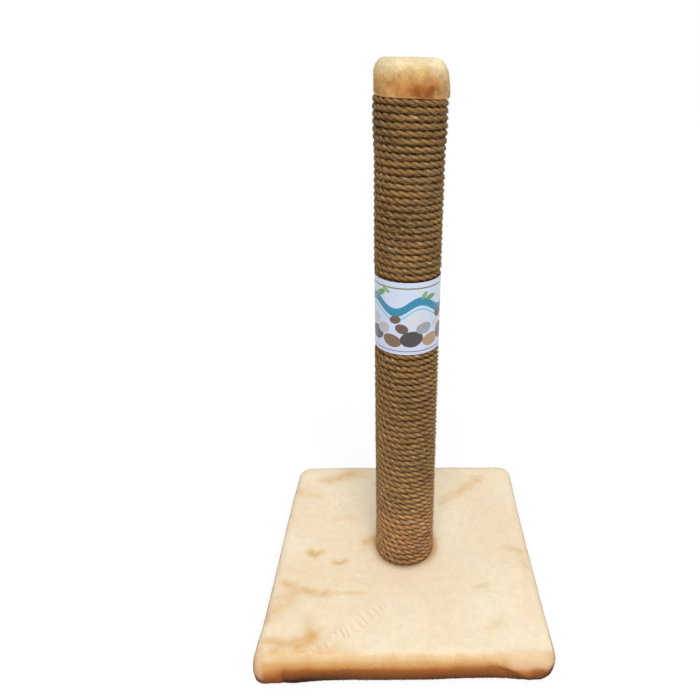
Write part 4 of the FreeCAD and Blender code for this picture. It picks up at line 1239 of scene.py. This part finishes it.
def make_sleeve(material):
    """A strip of paper round the rope, its end lapped over its start at the back."""
    sweep = np.linspace(0, math.radians(360 + LAP), SLEEVE_COLUMNS)
    angle = math.pi / 2 + math.radians(LAP / 2) - sweep
    height = np.linspace(SLEEVE_BOTTOM, SLEEVE_TOP, SLEEVE_ROWS)
    tall, turn = np.meshgrid(height, angle, indexing="ij")
    swept = np.broadcast_to(sweep, tall.shape)
    lapped = (PAPER + LAP_GAP) * smooth(math.radians(346), math.radians(359), swept)
    climb = ROPE_STRETCHES[2][1]
    phase = (tall - rope_height(SLEEVE_FIRST)) / climb + (turn - math.pi / 2) / TAU
    ridges = 0.07 * np.cos(TAU * phase)
    outward = facing(turn.ravel())
    upright = np.stack([0 * tall, 0 * tall, tall], -1).reshape(-1, 3)
    dents = 0.12 * noise(outward * DENT_RADIUS + upright, 22, SEED + 100)
    radius = SLEEVE_RADIUS + (lapped + ridges).ravel() + dents
    points = np.concatenate([outward * (radius + thickness)[:, None] + upright
                             for thickness in (PAPER, 0.0)])
    count = tall.size
    outer = grid(SLEEVE_ROWS, SLEEVE_COLUMNS)[:, ::-1]
    inner = grid(SLEEVE_ROWS, SLEEVE_COLUMNS) + count
    rim = np.concatenate([
        np.arange(SLEEVE_COLUMNS),
        np.arange(1, SLEEVE_ROWS) * SLEEVE_COLUMNS + SLEEVE_COLUMNS - 1,
        (SLEEVE_ROWS - 1) * SLEEVE_COLUMNS + np.arange(SLEEVE_COLUMNS - 1)[::-1],
        np.arange(1, SLEEVE_ROWS - 1)[::-1] * SLEEVE_COLUMNS,
    ])
    after = np.roll(rim, -1)
    edge = np.stack([rim, after, after + count, rim + count], 1)
    mesh = make_mesh("label_sleeve_paper", points, [outer, inner, edge])
    corner = corner_indices(mesh) % count
    across = sweep[corner % SLEEVE_COLUMNS] - math.radians(180 + LAP / 2)
    up = points[corner, 2] - SLEEVE_BOTTOM
    give_map(mesh, "Print", np.stack([-across * PRINT_RADIUS, up], 1) / MAP_UNIT)
    mark_sharp(mesh, lambda ends: np.isin(ends % count, rim).all(1))
    make_piece("label_sleeve_paper", mesh, material, "label_paper", "label_sleeve")


PRINT_LEAVES = (                   # middle, half width and height, slant, colour
    ((-36, 74), (7.5, 3.6), 0.5, (92, 138, 84)), ((-27, 79), (5.5, 2.6), -0.4, (128, 160, 98)),
    ((20, 74), (5.5, 2.6), 0.9, (116, 150, 92)), ((29, 71), (6.5, 3.0), 0.2, (92, 138, 84)),
)
PRINT_PEBBLES = (
    ((-46, 40), (9, 7), 0.4, (176, 174, 184)), ((-15, 44), (7, 5), 0.2, (96, 72, 54)),
    ((10, 43), (10, 8), 0.3, (196, 192, 200)), ((44, 47), (8, 6), -0.3, (78, 64, 56)),
    ((-44, 22), (13, 9), 0.1, (66, 62, 68)), ((-19, 17), (12, 8), -0.2, (110, 86, 64)),
    ((-31, 31), (9, 7), 0.3, (170, 168, 172)), ((5, 20), (14, 10), 0.15, (58, 50, 52)),
    ((-7, 33), (8, 6), -0.3, (92, 70, 56)), ((30, 17), (12, 8), 0.1, (160, 128, 94)),
    ((20, 33), (10, 7), 0.2, (142, 146, 152)), ((48, 23), (9, 11), 0.2, (92, 80, 72)),
    ((38, 36), (6, 5), -0.2, (190, 186, 184)),
)
WAVE_LENGTH, WAVE_HEIGHT = 61.7, 7.0
PRINT_WAVES = ((60.0, 5.2, (14, 120, 152)), (50.5, 0.9, (96, 178, 200)))   # middle, half, colour
PRINT_STRIP = 8.5                  # height of the plain strip along the lower edge


def oval(tree, x, y, centre, radii, turn=0.0, soft=0.04):
    """1 inside an oval on the print and 0 outside, in millimetres, with a slightly soft edge."""
    cos, sin = math.cos(turn), math.sin(turn)
    right = sums(tree, "SUBTRACT", x, centre[0])
    up = sums(tree, "SUBTRACT", y, centre[1])
    first = sums(tree, "MULTIPLY_ADD", right, cos / radii[0],
                 sums(tree, "MULTIPLY", up, sin / radii[0]))
    second = sums(tree, "MULTIPLY_ADD", up, cos / radii[1],
                  sums(tree, "MULTIPLY", right, -sin / radii[1]))
    away = sums(tree, "ADD", sums(tree, "MULTIPLY", first, first),
                sums(tree, "MULTIPLY", second, second))
    return sums(tree, "DIVIDE", sums(tree, "SUBTRACT", 1.0 + soft, away), 2 * soft, clamp=True)


def band(tree, value, middle, half, soft=0.25):
    """1 where value is within half of middle, in millimetres."""
    away = sums(tree, "ABSOLUTE", sums(tree, "SUBTRACT", value, middle))
    return sums(tree, "DIVIDE", sums(tree, "SUBTRACT", half + soft, away), 2 * soft, clamp=True)


def paper_material():
    """Coated paper with a plain printed pattern of waves, leaves and pebbles."""
    material, tree, shader = new_material("label_paper", 0.38, Coat_Weight=0.25,
                                          Coat_Roughness=0.25)
    print_at = add(tree, "SeparateXYZ", {0: add(tree, "UVMap", uv_map="Print").outputs[0]})
    x, y = (sums(tree, "MULTIPLY", print_at.outputs[axis], MAP_UNIT) for axis in (0, 1))
    fibre = cloud_at(tree, scaled_place(tree, (1, 1, 1)), 900, 3)
    shade = blend_colours(tree, fibre, colour(196, 204, 219), colour(178, 190, 213))
    wave = sums(tree, "SINE", sums(tree, "MULTIPLY", x, TAU / WAVE_LENGTH))
    waved = sums(tree, "MULTIPLY_ADD", wave, -WAVE_HEIGHT, y)
    for middle, half, shown in PRINT_WAVES:
        shade = blend_colours(tree, band(tree, waved, middle, half), shade, colour(*shown))
    shade = blend_colours(tree, band(tree, y, 83.0, 0.9), shade, colour(112, 116, 74))
    for middle, radii, turn, shown in PRINT_LEAVES + PRINT_PEBBLES:
        shade = blend_colours(tree, oval(tree, x, y, middle, radii, turn), shade, colour(*shown))
    strip = sums(tree, "LESS_THAN", y, PRINT_STRIP)
    shade = blend_colours(tree, strip, shade, colour(188, 192, 212))
    shade = blend_colours(tree, band(tree, y, 4.4, 0.5), shade, colour(70, 66, 72))
    paint(tree, shader, shade)
    bumped(tree, shader, fibre, 0.02)
    return material


# ---------------------------------------------------------------- floor and light
FLOOR_SIZE = 6000.0                # from the middle to each side
FLOOR_GREY, FLOOR_WHITE = 0.84, 1.09
FLOOR_FADE = {1: 0.35, 2: 1.1, 3: 0.70, 4: 0.96}   # from and to, in metres, and shares of white


def make_floor():
    """A pale floor that keeps the object's shadow and fades to white further out."""
    points = np.array(((-1, -1, 0), (1, -1, 0), (1, 1, 0), (-1, 1, 0))) * FLOOR_SIZE
    mesh = make_mesh("floor", points, [np.array([[0, 1, 2, 3]])])
    floor = place_object("floor", mesh)
    material, tree, shader = new_material("floor", 0.9, Specular_IOR_Level=0.0,
                                          Base_Color=(FLOOR_GREY, FLOOR_GREY, FLOOR_GREY, 1))
    white = add(tree, "Emission", {"Color": (1, 1, 1, 1), "Strength": FLOOR_WHITE}).outputs[0]
    place = add(tree, "TexCoord").outputs["Object"]
    away = add(tree, "VectorMath", {0: place}, operation="LENGTH").outputs["Value"]
    far = add(tree, "MapRange", {"Value": away, **FLOOR_FADE},
              interpolation_type="SMOOTHSTEP").outputs[0]
    share = sums(tree, "MULTIPLY", seen_directly(tree), far)
    mixed = add(tree, "MixShader", {0: share, 1: shader.outputs[0], 2: white}).outputs[0]
    tree.links.new(mixed, tree.nodes["Material Output"].inputs[0])
    mesh.materials.append(material)


SKY_LIGHT = 0.58                   # on the object; the camera sees full white


def make_world():
    """White to the camera, and a plain soft light on the object."""
    world = bpy.data.worlds.new("world")
    bpy.context.scene.world = world
    world.use_nodes = True
    tree = world.node_tree
    tree.nodes.clear()
    strength = sums(tree, "MULTIPLY_ADD", seen_directly(tree), 1 - SKY_LIGHT, SKY_LIGHT)
    sky = add(tree, "Background", {"Color": (1, 1, 1, 1), "Strength": strength}).outputs[0]
    add(tree, "OutputWorld", {0: sky})


LAMP_AT, LAMP_TOWARDS = Vector((0.27, -3.06, 3.76)), Vector((0, 0, 0.25))   # metres
LAMP_SIZE = 3.6
LAMP_POWER = 167


def make_lamp():
    """A round soft lamp above and in front."""
    data = bpy.data.lights.new("overhead", "AREA")
    data.shape = "DISK"
    data.size = LAMP_SIZE
    data.energy = LAMP_POWER
    lamp = place_object("overhead", data)
    lamp.location = LAMP_AT
    lamp.rotation_euler = (LAMP_TOWARDS - LAMP_AT).to_track_quat("-Z", "Y").to_euler()


# ---------------------------------------------------------------- the scene
def dress_nodes():
    """The rigid nodes keep their shape and get their own materials."""
    chipboard, wood, card = board_material(), wood_material(), card_material()
    zinc = metal_material("zinc_steel", (150, 152, 158), (214, 216, 220), (300, 300, 300))
    staple = metal_material("staple_steel", (158, 158, 162), (206, 206, 210), (900, 120, 900))
    materials = {
        "base_board": chipboard, "base_staples": staple, "cap_staples": staple,
        "base_bolt": zinc, "base_washer": zinc, "pronged_nut": zinc,
        "lower_plug_nails": zinc, "upper_plug_nails": zinc,
        "lower_plug": wood, "upper_plug": wood, "post_tube": card,
    }
    for name, material in materials.items():
        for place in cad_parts[name].material_slots:
            place.material = material


def build():
    """Everything in the scene."""
    make_camera()
    make_world()
    make_floor()
    make_lamp()
    dress_nodes()
    plush, foam, jute = plush_material(), foam_material(), jute_material()
    make_base_pile(*make_base_cover(plush), plush)
    make_base_padding(foam)
    for name, node, first, last in ROPE_PIECES:
        make_rope(name, node, first, last, jute)
    make_rope_fuzz("rope_fuzz_lower", 0.5, SLEEVE_FIRST, SEED + 10, jute)
    make_rope_fuzz("rope_fuzz_upper", SLEEVE_LAST, LAST_TURN - 0.5, SEED + 12, jute)
    make_sleeve(paper_material())
    make_cap_pile(*make_cap(plush), plush)
    make_cap_padding(foam)


bpy.context.scene.view_settings.view_transform = "Standard"
build()
bpy.context.view_layer.update()
